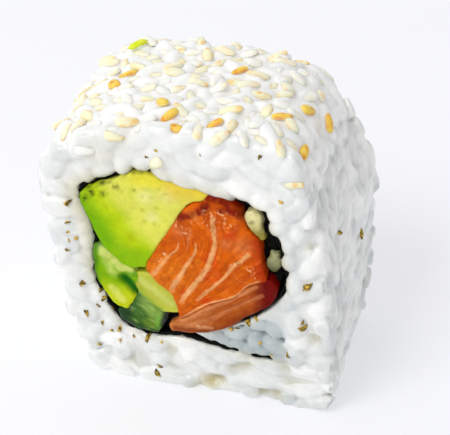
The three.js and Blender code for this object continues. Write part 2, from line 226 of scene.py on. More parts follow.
def closest(points, line):
    """Each point's distance to an open line, how far along it the nearest place is, and that place."""
    best = np.full(len(points), 1e9)
    share = np.zeros(len(points))
    place = np.zeros((len(points), 2))
    line = np.asarray(line, float)
    lengths = np.linalg.norm(np.diff(line, axis=0), axis=1)
    total = lengths.sum()
    run = 0.0
    for a, b, length in zip(line[:-1], line[1:], lengths):
        t = np.clip(((points - a) @ (b - a)) / length ** 2, 0, 1)
        q = a + t[:, None] * (b - a)
        d = np.linalg.norm(points - q, axis=1)
        closer = d < best
        best[closer] = d[closer]
        share[closer] = (run + t[closer] * length) / total
        place[closer] = q[closer]
        run += length
    return best, share, place


def straight(points, count):
    """Evenly spaced points round a closed polygon, its corners kept nearly sharp."""
    return evenly(np.array(points + points[:1], float), count, True)


# ---- the frame's place, and the camera ----
COIL_LINE = curve(COIL, 260, False)
coil_low_x = (COIL_LINE[:, 0] - 0.225).min()
coil_low_z = (COIL_LINE[:, 1] - 0.225).min()
nori_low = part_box("nori")[0]
SHIFT = Vector((nori_low.x / MM - coil_low_x, 0.0, nori_low.z / MM - coil_low_z))
TO_FRAME = Matrix.Scale(MM, 4) @ Matrix.Translation(SHIFT)

az, el = math.radians(AZIMUTH), math.radians(ELEVATION)
CAM_BACK = np.array([math.sin(az) * math.cos(el), -math.cos(az) * math.cos(el), math.sin(el)])
CAM_RIGHT = np.array([math.cos(az), math.sin(az), 0.0])
CAM_UP = np.cross(CAM_BACK, CAM_RIGHT)
CAM_AT = AIM + CAM_BACK * DISTANCE


def sight(u, v):
    """The direction from the camera through a place in the picture."""
    d = -CAM_BACK + CAM_RIGHT * (u - PICTURE_W / 2) / FOCAL_PX - CAM_UP * (v - PICTURE_H / 2) / FOCAL_PX
    return d / np.linalg.norm(d)


def on_face(u, v):
    """The x and z where that line of sight meets the plane of the front cut."""
    d = sight(u, v)
    hit = CAM_AT + d * (-HALF - CAM_AT[1]) / d[1]
    return hit[0], hit[2]


def on_cut(places):
    return [on_face(u, v) for u, v in places]


# ---- meshes ----
def make(name, verts, faces):
    mesh = bpy.data.meshes.new(name)
    mesh.from_pydata([tuple(v) for v in verts], [], [tuple(f) for f in faces])
    mesh.update()
    obj = bpy.data.objects.new(name, mesh)
    bpy.context.scene.collection.objects.link(obj)
    return obj


def read(items, name, width=3, kind=float):
    values = np.empty(len(items) * width, kind)
    items.foreach_get(name, values)
    return values.reshape(-1, width)


def coords(mesh):
    return read(mesh.vertices, "co")


def set_coords(mesh, co):
    mesh.vertices.foreach_set("co", np.asarray(co, np.float32).ravel())
    mesh.update()


def vertex_normals(mesh):
    return read(mesh.vertex_normals, "vector")


def edges(mesh):
    return read(mesh.edges, "vertices", 2, np.int32)


def neighbour_mean(co, e):
    at, other = np.concatenate([e[:, 0], e[:, 1]]), np.concatenate([e[:, 1], e[:, 0]])
    count = np.maximum(np.bincount(at, minlength=len(co)), 1)
    if co.ndim == 1:
        return np.bincount(at, co[other], len(co)) / count
    sums = [np.bincount(at, co[other, k], len(co)) for k in range(co.shape[1])]
    return np.column_stack(sums) / count[:, None]


def relax(mesh, times, share=0.5, where=None):
    """Evens the surface out; `where` gives each vertex its own share of it."""
    co, e = coords(mesh), edges(mesh)
    share = share if where is None else share * where(co)[:, None]
    for _ in range(times):
        co += (neighbour_mean(co, e) - co) * share
    set_coords(mesh, co)


def modify(obj, kind, **settings):
    """Puts a modifier on a piece and applies it."""
    made = obj.modifiers.new(kind.lower(), kind)
    for key, value in settings.items():
        setattr(made, key, value)
    graph = bpy.context.evaluated_depsgraph_get()
    old, obj.data = obj.data, bpy.data.meshes.new_from_object(obj.evaluated_get(graph))
    obj.modifiers.clear()
    bpy.data.meshes.remove(old)


def remesh(obj, voxel):
    modify(obj, "REMESH", mode="VOXEL", voxel_size=voxel, adaptivity=0.0)


def paint(mesh, name, values):
    """A colour attribute on the vertices: one number, or three, for each."""
    values = np.asarray(values, float)
    colour = np.ones((len(mesh.vertices), 4), np.float32)
    colour[:, :3] = values[:, None] if values.ndim == 1 else values
    layer = mesh.color_attributes.new(name, "FLOAT_COLOR", "POINT")
    layer.data.foreach_set("color", colour.ravel())


def wobble(co, size, seed):
    """Smooth noise, about -1 to 1, at each point."""
    shift = Vector((seed * 17.3, seed * 5.1, seed * 9.7))
    return np.array([noise.noise(Vector(p) / size + shift) for p in co])


def finish_piece(obj, material, nodes=()):
    obj.data.transform(TO_FRAME)
    obj.data.update()
    obj.data.materials.clear()
    obj.data.materials.append(material)
    obj.data.polygons.foreach_set("use_smooth", np.ones(len(obj.data.polygons), bool))
    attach(obj, "root")
    if nodes:
        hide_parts(*nodes)
    return obj


def loft(name, rings, capped=True):
    """A skin over rings of equal length, each an array of x, y, z that runs anticlockwise."""
    n = len(rings[0])
    faces = [(k + i, k + n + i, k + n + (i + 1) % n, k + (i + 1) % n)
             for k in range(0, (len(rings) - 1) * n, n) for i in range(n)]
    if capped:
        faces += [tuple(range(n)), tuple(reversed(range((len(rings) - 1) * n, len(rings) * n)))]
    return make(name, np.vstack(rings), faces)


def at_y(ring, y):
    return np.column_stack([ring[:, 0], np.full(len(ring), y), ring[:, 1]])


def prism(name, ring, low, high, round_by=0.0):
    if not round_by:
        return loft(name, [at_y(ring, low), at_y(ring, high)])
    n = outward(ring)
    steps = [(0.0, 1.0), (0.25, 0.4), (0.8, 0.0)]
    rings = [at_y(ring - n * round_by * k, low + d * round_by) for d, k in steps]
    rings += [at_y(ring - n * round_by * k, high - d * round_by) for d, k in reversed(steps)]
    return loft(name, rings)


# ---- materials ----
class Look:
    """The shader of a material or of the world, while it is put together."""

    def __init__(self, block, shader, inputs):
        block.use_nodes = True
        self.block, self.tree = block, block.node_tree
        self.shader = self.put(self.tree.nodes[shader], inputs)

    def put(self, made, inputs):
        """Gives inputs of a node, by name or number, a value or a link."""
        for key, value in inputs.items():
            if isinstance(value, bpy.types.NodeSocket):
                self.tree.links.new(value, made.inputs[key])
            else:
                made.inputs[key].default_value = value
        return made

    def node(self, kind, inputs=None, **settings):
        made = self.tree.nodes.new("ShaderNode" + kind)
        for key, value in settings.items():
            setattr(made, key, value)
        return self.put(made, inputs or {})

    def mix(self, factor, a, b, blend="MIX"):
        return self.node("Mix", {0: factor, 6: a, 7: b}, data_type="RGBA", blend_type=blend).outputs[2]

    def times(self, a, b):
        return self.mix(1.0, a, b, "MULTIPLY")

    def product(self, a, b):
        return self.node("Math", {0: a, 1: b}, operation="MULTIPLY").outputs[0]

    def painted(self, name):
        return self.node("VertexColor", layer_name=name).outputs[0]

    def channels(self, name):
        return self.node("SeparateColor", {0: self.painted(name)}).outputs

    def noise(self, scale, detail=3.0, roughness=0.55, distortion=0.0):
        where = self.node("TexCoord").outputs["Object"]
        return self.node("TexNoise", {"Vector": where, "Scale": scale, "Detail": detail,
                                      "Roughness": roughness, "Distortion": distortion}).outputs[0]

    def ramp(self, factor, *stops):
        made = self.node("ValToRGB", {0: factor})
        while len(made.color_ramp.elements) < len(stops):
            made.color_ramp.elements.new(0.5)
        for element, (place, colour) in zip(made.color_ramp.elements, stops):
            element.position, element.color = place, colour
        return made.outputs[0]

    def greys(self, factor, low, dark, high, light=1.0):
        return self.ramp(factor, (low, grey(dark)), (high, grey(light)))

    def finished(self, base, height, strength, distance):
        """The material, with this colour and this fine relief."""
        relief = self.node("Bump", {"Height": height, "Strength": strength, "Distance": distance})
        self.put(self.shader, {"Base Color": base, "Normal": relief.outputs[0]})
        return self.block


def material(name, inputs):
    return Look(bpy.data.materials.new(name), "Principled BSDF", inputs)


def rgb(r, g, b):
    """A colour given as it looks on screen, 0 to 255, in the linear values that a shader takes."""
    return tuple((c / 255) ** 2.2 for c in (r, g, b)) + (1.0,)


def grey(v):
    return (v, v, v, 1.0)


def flesh(name, depth, radius, roughness, specular=0.5, coat=0.0, coat_roughness=0.15):
    """Moist food that light sinks into: how much of it, and how far in mm for red, green and blue."""
    return material(name, {
        "Subsurface Weight": depth, "Subsurface Radius": radius, "Subsurface Scale": MM,
        "Roughness": roughness, "IOR": 1.4, "Specular IOR Level": specular,
        "Coat Weight": coat, "Coat Roughness": coat_roughness,
    })


def rice_material():
    look = flesh("rice_moist", 0.5, (0.9, 0.9, 0.85), 0.28, coat=0.35, coat_roughness=0.1)
    tone = look.channels("tone")
    base = look.mix(tone[0], rgb(138, 154, 157), rgb(249, 249, 245))
    # The second channel is painted shade in the creases; the third is an olive tint, stain near the nori
    # and painted shade in the hollows.
    base = look.mix(tone[1], base, rgb(196, 196, 184))
    base = look.mix(tone[2], base, rgb(192, 180, 124))
    base = look.times(base, look.greys(look.noise(900.0, 2.0), 0.35, 0.955, 0.65))
    return look.finished(base, look.noise(1500.0), 0.2, 0.0001)


def sesame_material(name, body, tip):
    look = flesh(name, 0.6, (0.9, 0.7, 0.45), 0.42, specular=0.3, coat=0.08)
    tone = look.channels("tone")
    patches = look.greys(look.noise(1000.0, 2.0), 0.40, 0.3, 0.55)
    base = look.mix(look.product(tone[0], patches), body, tip)
    # Paler towards the rice's colour: each seed's own paleness, and painted light on its underside.
    base = look.mix(tone[1], base, rgb(252, 249, 238))
    base = look.times(base, look.greys(look.noise(1400.0), 0.3, 0.93, 0.7))
    return look.finished(base, look.noise(1800.0, 2.0), 0.25, 0.00006)


def nori_material():
    look = material("nori_sheet", {"Specular IOR Level": 0.12})
    grain = look.noise(1600.0, 4.0, 0.7)
    look.put(look.shader, {"Roughness": look.greys(grain, 0.3, 0.6, 0.7, 0.85)})
    base = look.ramp(grain, (0.35, rgb(3, 4, 3)), (0.62, rgb(13, 16, 7)), (0.74, rgb(66, 62, 20)))
    return look.finished(base, grain, 0.6, 0.0002)


def crumb_material():
    look = material("nori_crumb", {"Roughness": 0.6})
    grain = look.noise(1300.0, 3.0, 0.6)
    base = look.ramp(grain, (0.36, rgb(48, 42, 6)), (0.47, rgb(136, 112, 24)), (0.57, rgb(226, 184, 56)))
    return look.finished(base, grain, 0.5, 0.0001)


def salmon_material(name):
    look = flesh(name, 0.15, (1.0, 0.45, 0.2), 0.42, specular=0.1)
    fibre = look.node("TexNoise", {"Vector": look.painted("flow"), "Scale": 1.3, "Detail": 5.0,
                                   "Roughness": 0.65}).outputs[0]
    fine = look.noise(1100.0, 3.0, 0.6)
    meat = look.times(look.painted("tint"), look.ramp(fibre, (0.28, rgb(206, 172, 134)), (0.60, grey(1.0))))
    meat = look.mix(look.greys(fibre, 0.58, 0.0, 0.74, 0.4), meat, rgb(246, 150, 70))
    meat = look.times(meat, look.ramp(fine, (0.30, rgb(232, 222, 210)), (0.60, grey(1.0))))
    # Painted glints: pale specks mixed into the colour where the glint mask is set.
    glint_specks = look.greys(look.noise(2200.0, 1.0, 0.4), 0.54, 0.0, 0.70, 0.55)
    meat = look.mix(look.product(look.channels("painted_glints")[0], glint_specks), meat, rgb(252, 206, 150))
    return look.finished(meat, fibre, 0.5, 0.0002)


def avocado_material(name):
    look = flesh(name, 0.25, (0.7, 0.8, 0.2), 0.5, specular=0.1)
    base = look.times(look.painted("tint"), look.greys(look.noise(420.0, 5.0, 0.65, 0.5), 0.28, 0.90, 0.62))
    base = look.times(base, look.greys(look.noise(1700.0), 0.3, 0.93, 0.7))
    return look.finished(base, look.noise(800.0, 4.0, 0.6), 0.5, 0.0003)


def cucumber_material(name):
    look = flesh(name, 0.4, (0.8, 1.0, 0.35), 0.32, specular=0.25, coat=0.15)
    base = look.times(look.painted("tint"), look.greys(look.noise(500.0, 5.0, 0.65, 0.8), 0.3, 0.78, 0.68))
    return look.finished(base, look.noise(900.0), 0.4, 0.0002)


# ---- rice ----
GRAIN_SIDES, GRAIN_STEPS = 10, 7

# Grains that show one by one on the front cut, by their place in the picture:
# u, v, long and wide in mm, lean in degrees, whiteness, how far back of the cut.
SHOWN_GRAINS = [
    (188, 358, 3.6, 2.9, 0, 1, 0), (192, 382, 2.8, 2.9, 20, 1, 0),
    (254, 385, 8.2, 3.3, -4, 0.55, 0), (304, 373, 5.2, 3.3, 5, 0.95, 0),
    (303, 396, 5.4, 3, -12, 0.85, 0), (329, 390, 2.9, 2.4, 0, 1, 0),
    (319, 313, 5.8, 2.7, 76, 1, -0.1), (309, 272, 5.4, 3.9, 62, 0.75, 0),
    (120, 167, 3.7, 3, 88, 0.5, 0), (140, 167, 2.9, 2.7, 10, 0.3, 0.1),
    (222, 361, 5.6, 2.7, -8, 0.35, 0.1), (270, 372, 4.4, 2.6, -14, 0.5, 0.1),
    (225, 372, 4.4, 2.6, 4, 0.45, 0.2), (158, 361, 3.8, 2.8, -20, 0.6, 0.1),
    (300, 300, 3.6, 3, 30, 0.4, 0.1), (296, 240, 4, 3, 70, 0.4, 0.1),
    (289, 265, 3.6, 2.8, 80, 0.15, 0.1), (278, 230, 3.6, 2.8, 50, 0.4, 0),
    (286, 309, 3.4, 2.4, 20, 0.2, 0.3),
    (161, 177, 3.6, 2.6, -18, 0.4, 0.1), (180, 183, 5.6, 2.7, -27, 0.35, 0.1),
    (202, 188, 5.4, 3, -25, 0.3, 0.1), (218, 197, 4.4, 3, -12, 0.15, 0.15),
    (237, 194, 5, 2.8, -18, 0.75, 0), (259, 205, 4.2, 2.8, -16, 0.7, 0),
    (275, 219, 3.8, 2.8, -65, 0.6, 0), (289, 249, 3.6, 2.6, 75, 0.3, 0.1),
    (255, 366, 4.4, 2.1, -8, 0.6, 0.05), (208, 354, 3.8, 2.1, -20, 0.6, 0.1),
    (240, 361, 3.4, 2, -12, 0.5, 0.05), (277, 371, 3.8, 2.3, -14, 0.5, 0.1),
    (300, 345, 5, 3.4, 30, 0.8, 0),
]
# The bluish grains that lie back in the wedge under the fish.
WEDGE_GRAINS = [
    (209, 335, 4.6, 2.8, -8, 0.15, 0.40), (234, 337, 4.4, 2.9, 6, 0.1, 0.30),
    (254, 346, 3.9, 2.9, 84, 0.05, 0.15), (273, 351, 4.8, 3.3, -28, 0.1, 0.10),
    (257, 329, 4.6, 2.6, 8, 0.2, 0.35), (243, 352, 2.8, 2.2, -30, 0.1, 0.35),
    (272, 333, 3.8, 3, -50, 0.25, 0.15), (228, 347, 2.6, 1.8, -10, 0.1, 0.50),
    (261, 353, 2.8, 2, 4, 0.1, 0.05), (277, 359, 2.8, 1.9, -12, 0.15, 0.05),
    (221, 342, 2.8, 1.9, -18, 0.1, 0.2), (203, 336, 3.4, 1.7, -22, 0.3, 0.15),
    (212, 338, 3, 1.9, -20, 0.2, 0.1),
    (236, 347, 2.8, 1.8, -10, 0.1, 0.2), (248, 352, 2.4, 1.8, 0, 0.1, 0.15),
]
WEDGE = [(193, 339), (206, 331), (222, 333), (240, 328), (262, 322), (276, 326), (284, 340), (282, 363),
         (267, 361), (249, 358), (227, 352), (206, 346)]
# Hollows between the lowest grains, dented in, with olive painted shade in them: u, v, mm, depth, shade.
HOLLOWS = [
    (200, 387, 1, 0.8, 0.6), (209, 384, 1.2, 1, 0.9), (217, 382, 0.9, 0.8, 0.8),
    (262, 396, 0.8, 0.5, 0.5), (275, 398, 0.9, 0.5, 0.5), (289, 384, 0.7, 0.5, 0.35),
    (240, 369, 0.7, 0.5, 0.5), (232, 371, 0.7, 0.4, 0.4), (248, 366, 0.7, 0.4, 0.5),
    (313, 342, 0.9, 0.5, 0.3), (170, 352, 0.7, 0.4, 0.4), (135, 361, 0.8, 0.4, 0.3),
    (283, 371, 0.7, 0.4, 0.3), (308, 251, 0.8, 0.3, 0.2), (172, 366, 0.5, 0.3, 0.3),
]


def pod(sides, rings, below=1.0):
    """A grain or seed of unit half lengths, as vertices and faces, from rings of z and radius."""
    verts = [(0, 0, -1)]
    for z, r in rings:
        for b in (2 * math.pi * i / sides for i in range(sides)):
            verts.append((r * math.cos(b), r * math.sin(b) * (1 if math.sin(b) > 0 else below), z))
    verts.append((0, 0, 1))
    top = len(verts) - 1
    last = top - sides
    faces = []
    for i in range(sides):
        j = (i + 1) % sides
        faces += [(0, 1 + j, 1 + i), (top, last + i, last + j)]
        faces += [(a + i, a + j, a + sides + j, a + sides + i) for a in range(1, last, sides)]
    return np.array(verts, float), faces


def grain_ring(k):
    a = math.pi * k / GRAIN_STEPS
    return -math.cos(a), math.sin(a) ** 0.8


def square_to(out, along):
    """The part of `along` that is square to the unit vector `out`, at unit length."""
    along = along - out * (along @ out)
    return along / np.linalg.norm(along)


def lay(shape, at, along, out):
    """A shape set down at a place, its length along one way and its flat side facing another."""
    return at + shape[:, :1] * np.cross(along, out) + shape[:, 1:2] * out + shape[:, 2:] * along


class Batch:
    """Many small closed shapes that become one mesh."""

    def __init__(self):
        self.verts, self.faces = [], []

    def join(self, verts, faces):
        base = len(self.verts)
        self.verts.extend(verts)
        self.faces.extend(tuple(base + i for i in f) for f in faces)


class Grains(Batch):
    """Grains placed one by one, with the middle, direction, length and whiteness of each."""

    def __init__(self):
        super().__init__()
        self.shape, self.sides = pod(GRAIN_SIDES, [grain_ring(k) for k in range(1, GRAIN_STEPS)])
        self.centres, self.axes, self.longs, self.tones = [], [], [], []

    def add(self, at, along, out, long=GRAIN_LONG, wide=GRAIN_WIDE, thick=GRAIN_THICK, tone=None,
            cut=HALF):
        at, along, out = (np.asarray(v, float) for v in (at, along, out))
        out = out / np.linalg.norm(out)
        along = square_to(out, along)
        v = self.shape * (wide / 2, thick / 2, long / 2)
        v[:, 0] += rng.normal(0, 0.25) * ((v[:, 2] / (long / 2)) ** 2 - 0.3)
        world = lay(v, at, along, out)
        limit = cut + rng.normal(0, 0.08)
        world[:, 1] = np.clip(world[:, 1], -limit, limit)
        world[:, 2] = np.maximum(world[:, 2], 0.0)
        self.join(world, self.sides)
        self.centres.append(at)
        self.axes.append(along)
        self.longs.append(long)
        self.tones.append(rng.random() if tone is None else tone)

    def add_shown(self, u, v, long, wide, lean, tone, back):
        """A grain on the front cut, by its place in the picture."""
        x, z = on_face(u, v)
        a = math.radians(lean)
        self.add((x, -HALF + (wide * 0.42 + back), z), (math.cos(a), 0, math.sin(a)), (0, -1, 0), long,
                 wide, wide * 0.9, tone, cut=HALF + 0.12)


def spread(tries, gap, draw, kept=()):
    """Points at least `gap` apart, by seeded darts; each draw gives a point and more, or None."""
    cells = {}

    def cell(p):
        return tuple(int(math.floor(c / gap)) for c in p)
    for p in kept:
        cells.setdefault(cell(p), []).append(p)
    around = [(i, j, k) for i in (-1, 0, 1) for j in (-1, 0, 1) for k in (-1, 0, 1)]
    made = []
    for _ in range(tries):
        item = draw()
        if item is None:
            continue
        p = item[0]
        c = cell(p)
        if any(math.dist(p, q) < gap for i, j, k in around
               for q in cells.get((c[0] + i, c[1] + j, c[2] + k), ())):
            continue
        cells.setdefault(c, []).append(p)
        made.append(item)
    return made


@functools.lru_cache(None)
def skin_ring(y):
    ring = section(y)
    return ring, outward(ring)


def skin(u, y):
    """The point of the skin at ring share u and place y, and its outward direction."""
    ring, n = skin_ring(round(y * 2) / 2)
    f = (u % 1.0) * RING
    i = int(f) % RING
    j = (i + 1) % RING
    f -= int(f)
    p = ring[i] * (1 - f) + ring[j] * f
    d = n[i] * (1 - f) + n[j] * f
    return np.array([p[0], y, p[1]]), np.array([d[0], 0.0, d[1]])


def side_step(nx, y, z):
    """The front half of the right side stands a little proud of the back half."""
    back = rise(y, -5.0, -3.0)
    low = rise(-z, -33, -27)
    return 0.55 * rise(nx, 0.6, 0.9) * low * (0.4 - back)


LOOP = anticlockwise(curve(COIL[:COIL_CLOSES + 1], 120, True))
TAIL = curve(COIL[COIL_CLOSES:], 30, False)


def coat(grains):
    """Grains on the sides, the top and the underside."""
    def draw():
        y = (rng.random() - 0.5) * (LENGTH - 2.2)
        p, n = skin(rng.random(), y)
        return tuple(p), n
    for p, n in spread(9000, 2.4, draw):
        y = p[1]
        down = max(0.0, -n[2])
        sink = GRAIN_THICK * 0.5 * rng.uniform(0.92, 1.35) + 0.9 * down
        at = np.array(p) - n * (sink - side_step(n[0], y, p[2]))
        if down > 0.6:
            at[2] = rng.uniform(0.85, 1.15)
        round_in = max(0.0, abs(y) - (HALF - 2.6))
        at -= n * round_in ** 2 * 0.16 * (1 - down)
        up_edge = np.array([n[2], 0.0, -n[0]])
        near_front = rise(-y, 3.0, 9.5) * (n[0] > 0.6)
        along = rng.normal(0, 1, 3) * (1 - 0.75 * near_front)
        along += up_edge * 2.4 * near_front * rng.choice((-1, 1))
        size = rng.uniform(0.72, 1.02)
        grains.add(at, along, n, GRAIN_LONG * size, GRAIN_WIDE * rng.uniform(0.85, 1.08))


def line_nori(grains, way, kept):
    """Grains pressed against the nori on one cut face, where they partly hide it."""
    n = outward(LOOP)
    tangent = np.column_stack([-n[:, 1], n[:, 0]])
    share = 0.0
    while share < 1.0:
        i = int(share * len(LOOP)) % len(LOOP)
        lie = rng.choice(("round", "out", "across"), p=(0.45, 0.35, 0.2))
        reach = 1.08 + rng.uniform(-0.3, 0.3) + 0.3 * rise(LOOP[i][0], 11.5, 13.5)
        reach += 0.7 if lie == "out" else 0.0
        x, z = LOOP[i] + n[i] * reach
        if all(math.dist((x, way * HALF, z), q) > 1.9 for q in kept):
            kept.append((x, way * HALF, z))
            depth = rng.uniform(1.1, 1.5)
            along, out, long = {
                "round": ((tangent[i][0], 0.0, tangent[i][1]), (0.0, way, 0.0), rng.uniform(4.0, 5.2)),
                "out": ((n[i][0], 0.0, n[i][1]), (0.0, way, 0.0), rng.uniform(3.6, 4.4)),
                "across": ((0.0, 1.0, 0.0), (n[i][0], 0.0, n[i][1]), 3.4),
            }[lie]
            grains.add((x, way * (HALF - depth), z), along, out, long,
                       GRAIN_WIDE * rng.uniform(0.85, 1.05), GRAIN_THICK, tone=rng.uniform(0.1, 0.7))
        share += (4.0 if lie == "round" else 2.6) / 92.0 * rng.uniform(0.85, 1.15)


def fill_face(grains, way, kept):
    """The rest of one cut face: some grains lie flat on it and some are cut across."""
    darts = rng.uniform((-22, 0.9), (25, 45), (7000, 2))
    darts = darts[inside(section(way * HALF, 1.3), darts) & ~inside(LOOP + outward(LOOP) * 1.6, darts)
                  & (closest(darts, TAIL)[0] > 1.6)]
    queue = iter([((x, way * HALF, z),) for x, z in darts])
    for p, in spread(len(darts), 2.6, lambda: next(queue), kept):
        at = np.array([p[0], way * (HALF - rng.uniform(0.7, 1.2)), p[2]])
        gap = closest(np.array([[p[0], p[2]]]), COIL_LINE[40:])[0][0]
        bluish = 0.35 * math.exp(-max(gap - 1.0, 0) / 2.0) + 0.3 * rise(p[0], 4, 16)
        tone = min(1.0, max(0.0, rng.beta(1.6, 1.2) - bluish))
        low = p[2] < 11
        if rng.random() < (0.12 if low else 0.28):
            grains.add(at, (rng.normal(0, 0.3), way, rng.normal(0, 0.3)), rng.normal(0, 1, 3), 3.6,
                       GRAIN_WIDE * rng.uniform(0.95, 1.2), GRAIN_THICK * 1.1, tone=tone)
            continue
        if low:
            along = (1.0, 0.0, rng.normal(0, 0.35))
        elif p[0] > 14:
            along = (rng.normal(0, 0.6), 0.0, 1.0)
        else:
            along = (rng.normal(), 0.0, rng.normal() * 0.8)
        grains.add(at, along, (rng.normal(0, 0.16), way, rng.normal(0, 0.16)),
                   GRAIN_LONG * (1.2 if low else 1.0) * rng.uniform(0.7, 1.0),
                   GRAIN_WIDE * rng.uniform(0.9, 1.15), GRAIN_THICK, tone=tone)


def place_grains():
    grains = Grains()
    coat(grains)
    for row in SHOWN_GRAINS + WEDGE_GRAINS:
        grains.add_shown(*row)
    for way in (-1, 1):
        marked = SHOWN_GRAINS + WEDGE_GRAINS + HOLLOWS if way < 0 else []
        kept = [(x, way * HALF, z) for x, z in on_cut(row[:2] for row in marked)]
        line_nori(grains, way, kept)
        fill_face(grains, way, kept)
    return grains


def band(name, thick):
    n = outward(COIL_LINE, closed=False)
    ring = np.vstack([COIL_LINE + n * thick / 2, (COIL_LINE - n * thick / 2)[::-1]])
    return prism(name, anticlockwise(ring), -LENGTH, LENGTH)


def spot(xz, u, v, size):
    """1 at a place of the front cut given in the picture, falling off over a size in mm."""
    x, z = on_face(u, v)
    return np.exp(-((xz[:, 0] - x) ** 2 + (xz[:, 1] - z) ** 2) / size ** 2)


def rice_core():
    end = HALF - CORE_BACK
    steps = [(0.0, EDGE_ROUND), (0.5, 0.5), (2.2, 0.0)]
    rings = [at_y(section(d - end, k + CORE_DEPTH), d - end) for d, k in steps]
    rings += [at_y(section(end - d, k + CORE_DEPTH), end - d) for d, k in reversed(steps)]
    for ring in rings:
        ring[:, 2] = np.maximum(ring[:, 2], 0.35)
    core = loft("rice_grains", rings)
    wedge = anticlockwise(straight(on_cut(WEDGE), 40))
    for cutter in (prism("cut", LOOP + outward(LOOP) * 0.3, -LENGTH, LENGTH), band("cut", 0.9),
                   prism("cut", wedge, -LENGTH, -HALF + 1.5)):
        modify(core, "BOOLEAN", operation="DIFFERENCE", solver="EXACT", object=cutter)
        bpy.data.objects.remove(cutter)
    return core


def edge_inset(y):
    """How far the skin draws in towards the rounded edge of a cut."""
    return float(np.interp(HALF - y, (0.0, 0.6, 2.4), (EDGE_ROUND, 0.5, 0.0)))


def hold_in(co, allow=0.30, face_allow=0.25):
    """Draws in whatever stands out of the skin, or of the two cuts, by more than a little."""
    bins = np.round(np.clip(co[:, 1], -HALF, HALF) * 2) / 2
    for k in np.unique(bins):
        own = np.where(bins == k)[0]
        ring = section(float(k), edge_inset(abs(k)))
        p = co[own][:, [0, 2]]
        out = ~inside(ring, p)
        if not out.any():
            continue
        own, p = own[out], p[out]
        d, _, q = closest(p, np.vstack([ring, ring[:1]]))
        keep = allow * (1 - np.exp(-d / allow)) / np.maximum(d, 1e-6)
        co[np.ix_(own, [0, 2])] = q + (p - q) * keep[:, None]
    over = np.maximum(np.abs(co[:, 1]) - HALF, 0)
    co[:, 1] = np.sign(co[:, 1]) * (np.abs(co[:, 1]) - over + face_allow * (1 - np.exp(-over / face_allow)))
    co[:, 2] = np.maximum(co[:, 2], 0.0)
    return co


def pressed_flat(co):
    """Where the rice was pressed even: the upper band of the front cut, its left side, and the top."""
    front = rise(-co[:, 1], HALF - 3.0, HALF - 1.2)
    band_up = 0.7 * front * rise(co[:, 2], 37.0, 39.5)
    left = 0.35 * front * rise(-co[:, 0], 12.0, 15.0)
    top = 0.15 * rise(co[:, 2], 38.0, 41.0)
    return np.maximum(np.maximum(band_up, left), top)


def rice_piece():
    grains = place_grains()
    core = rice_core()
    loose = make("grains", grains.verts, grains.faces)
    bm = bmesh.new()
    bm.from_mesh(core.data)
    bm.from_mesh(loose.data)
    bm.to_mesh(core.data)
    bm.free()
    bpy.data.objects.remove(loose)
    remesh(core, RICE_VOXEL)
    relax(core.data, 1)
    have = sum(len(p.vertices) - 2 for p in core.data.polygons)
    modify(core, "DECIMATE", ratio=RICE_TRIANGLES / have)
    mesh = core.data
    relax(mesh, 9, 0.6, pressed_flat)
    co, n = coords(mesh), vertex_normals(mesh)
    rough = rise(n[:, 0], 0.2, 0.7) * rise(co[:, 0], 14.0, 18.0)
    lumps = np.zeros(len(co))
    picked = np.where(rough > 0.01)[0]
    lumps[picked] = 0.18 * wobble(co[picked], 1.8, 51) + 0.05 * wobble(co[picked], 0.8, 52)
    co = hold_in(co + n * (rough * lumps)[:, None])
    toe = rise(-co[:, 2], -4.5, -0.5) * rise(-co[:, 1], HALF - 3.0, HALF - 0.6)
    co[:, 1] -= (0.4 - 0.8 * rise(co[:, 0], 4.0, 13.0)) * toe
    front = rise(-co[:, 1], HALF - 2.4, HALF - 0.8)
    # The hollows are dented in and get olive painted shade, darkest at the middle of each.
    olive_tint = np.zeros(len(co))
    for u, v, size, depth, dark in HOLLOWS:
        at = on_face(u, v)
        d = np.hypot((co[:, 0] - at[0]) * 0.8, co[:, 2] - at[1])
        dent = np.exp(-(d / size) ** 2) * front
        co[:, 1] += depth * dent
        olive_tint = np.maximum(olive_tint, dark * dent)
    set_coords(mesh, co)
    paint_rice(mesh, grains, rough, olive_tint)
    return core


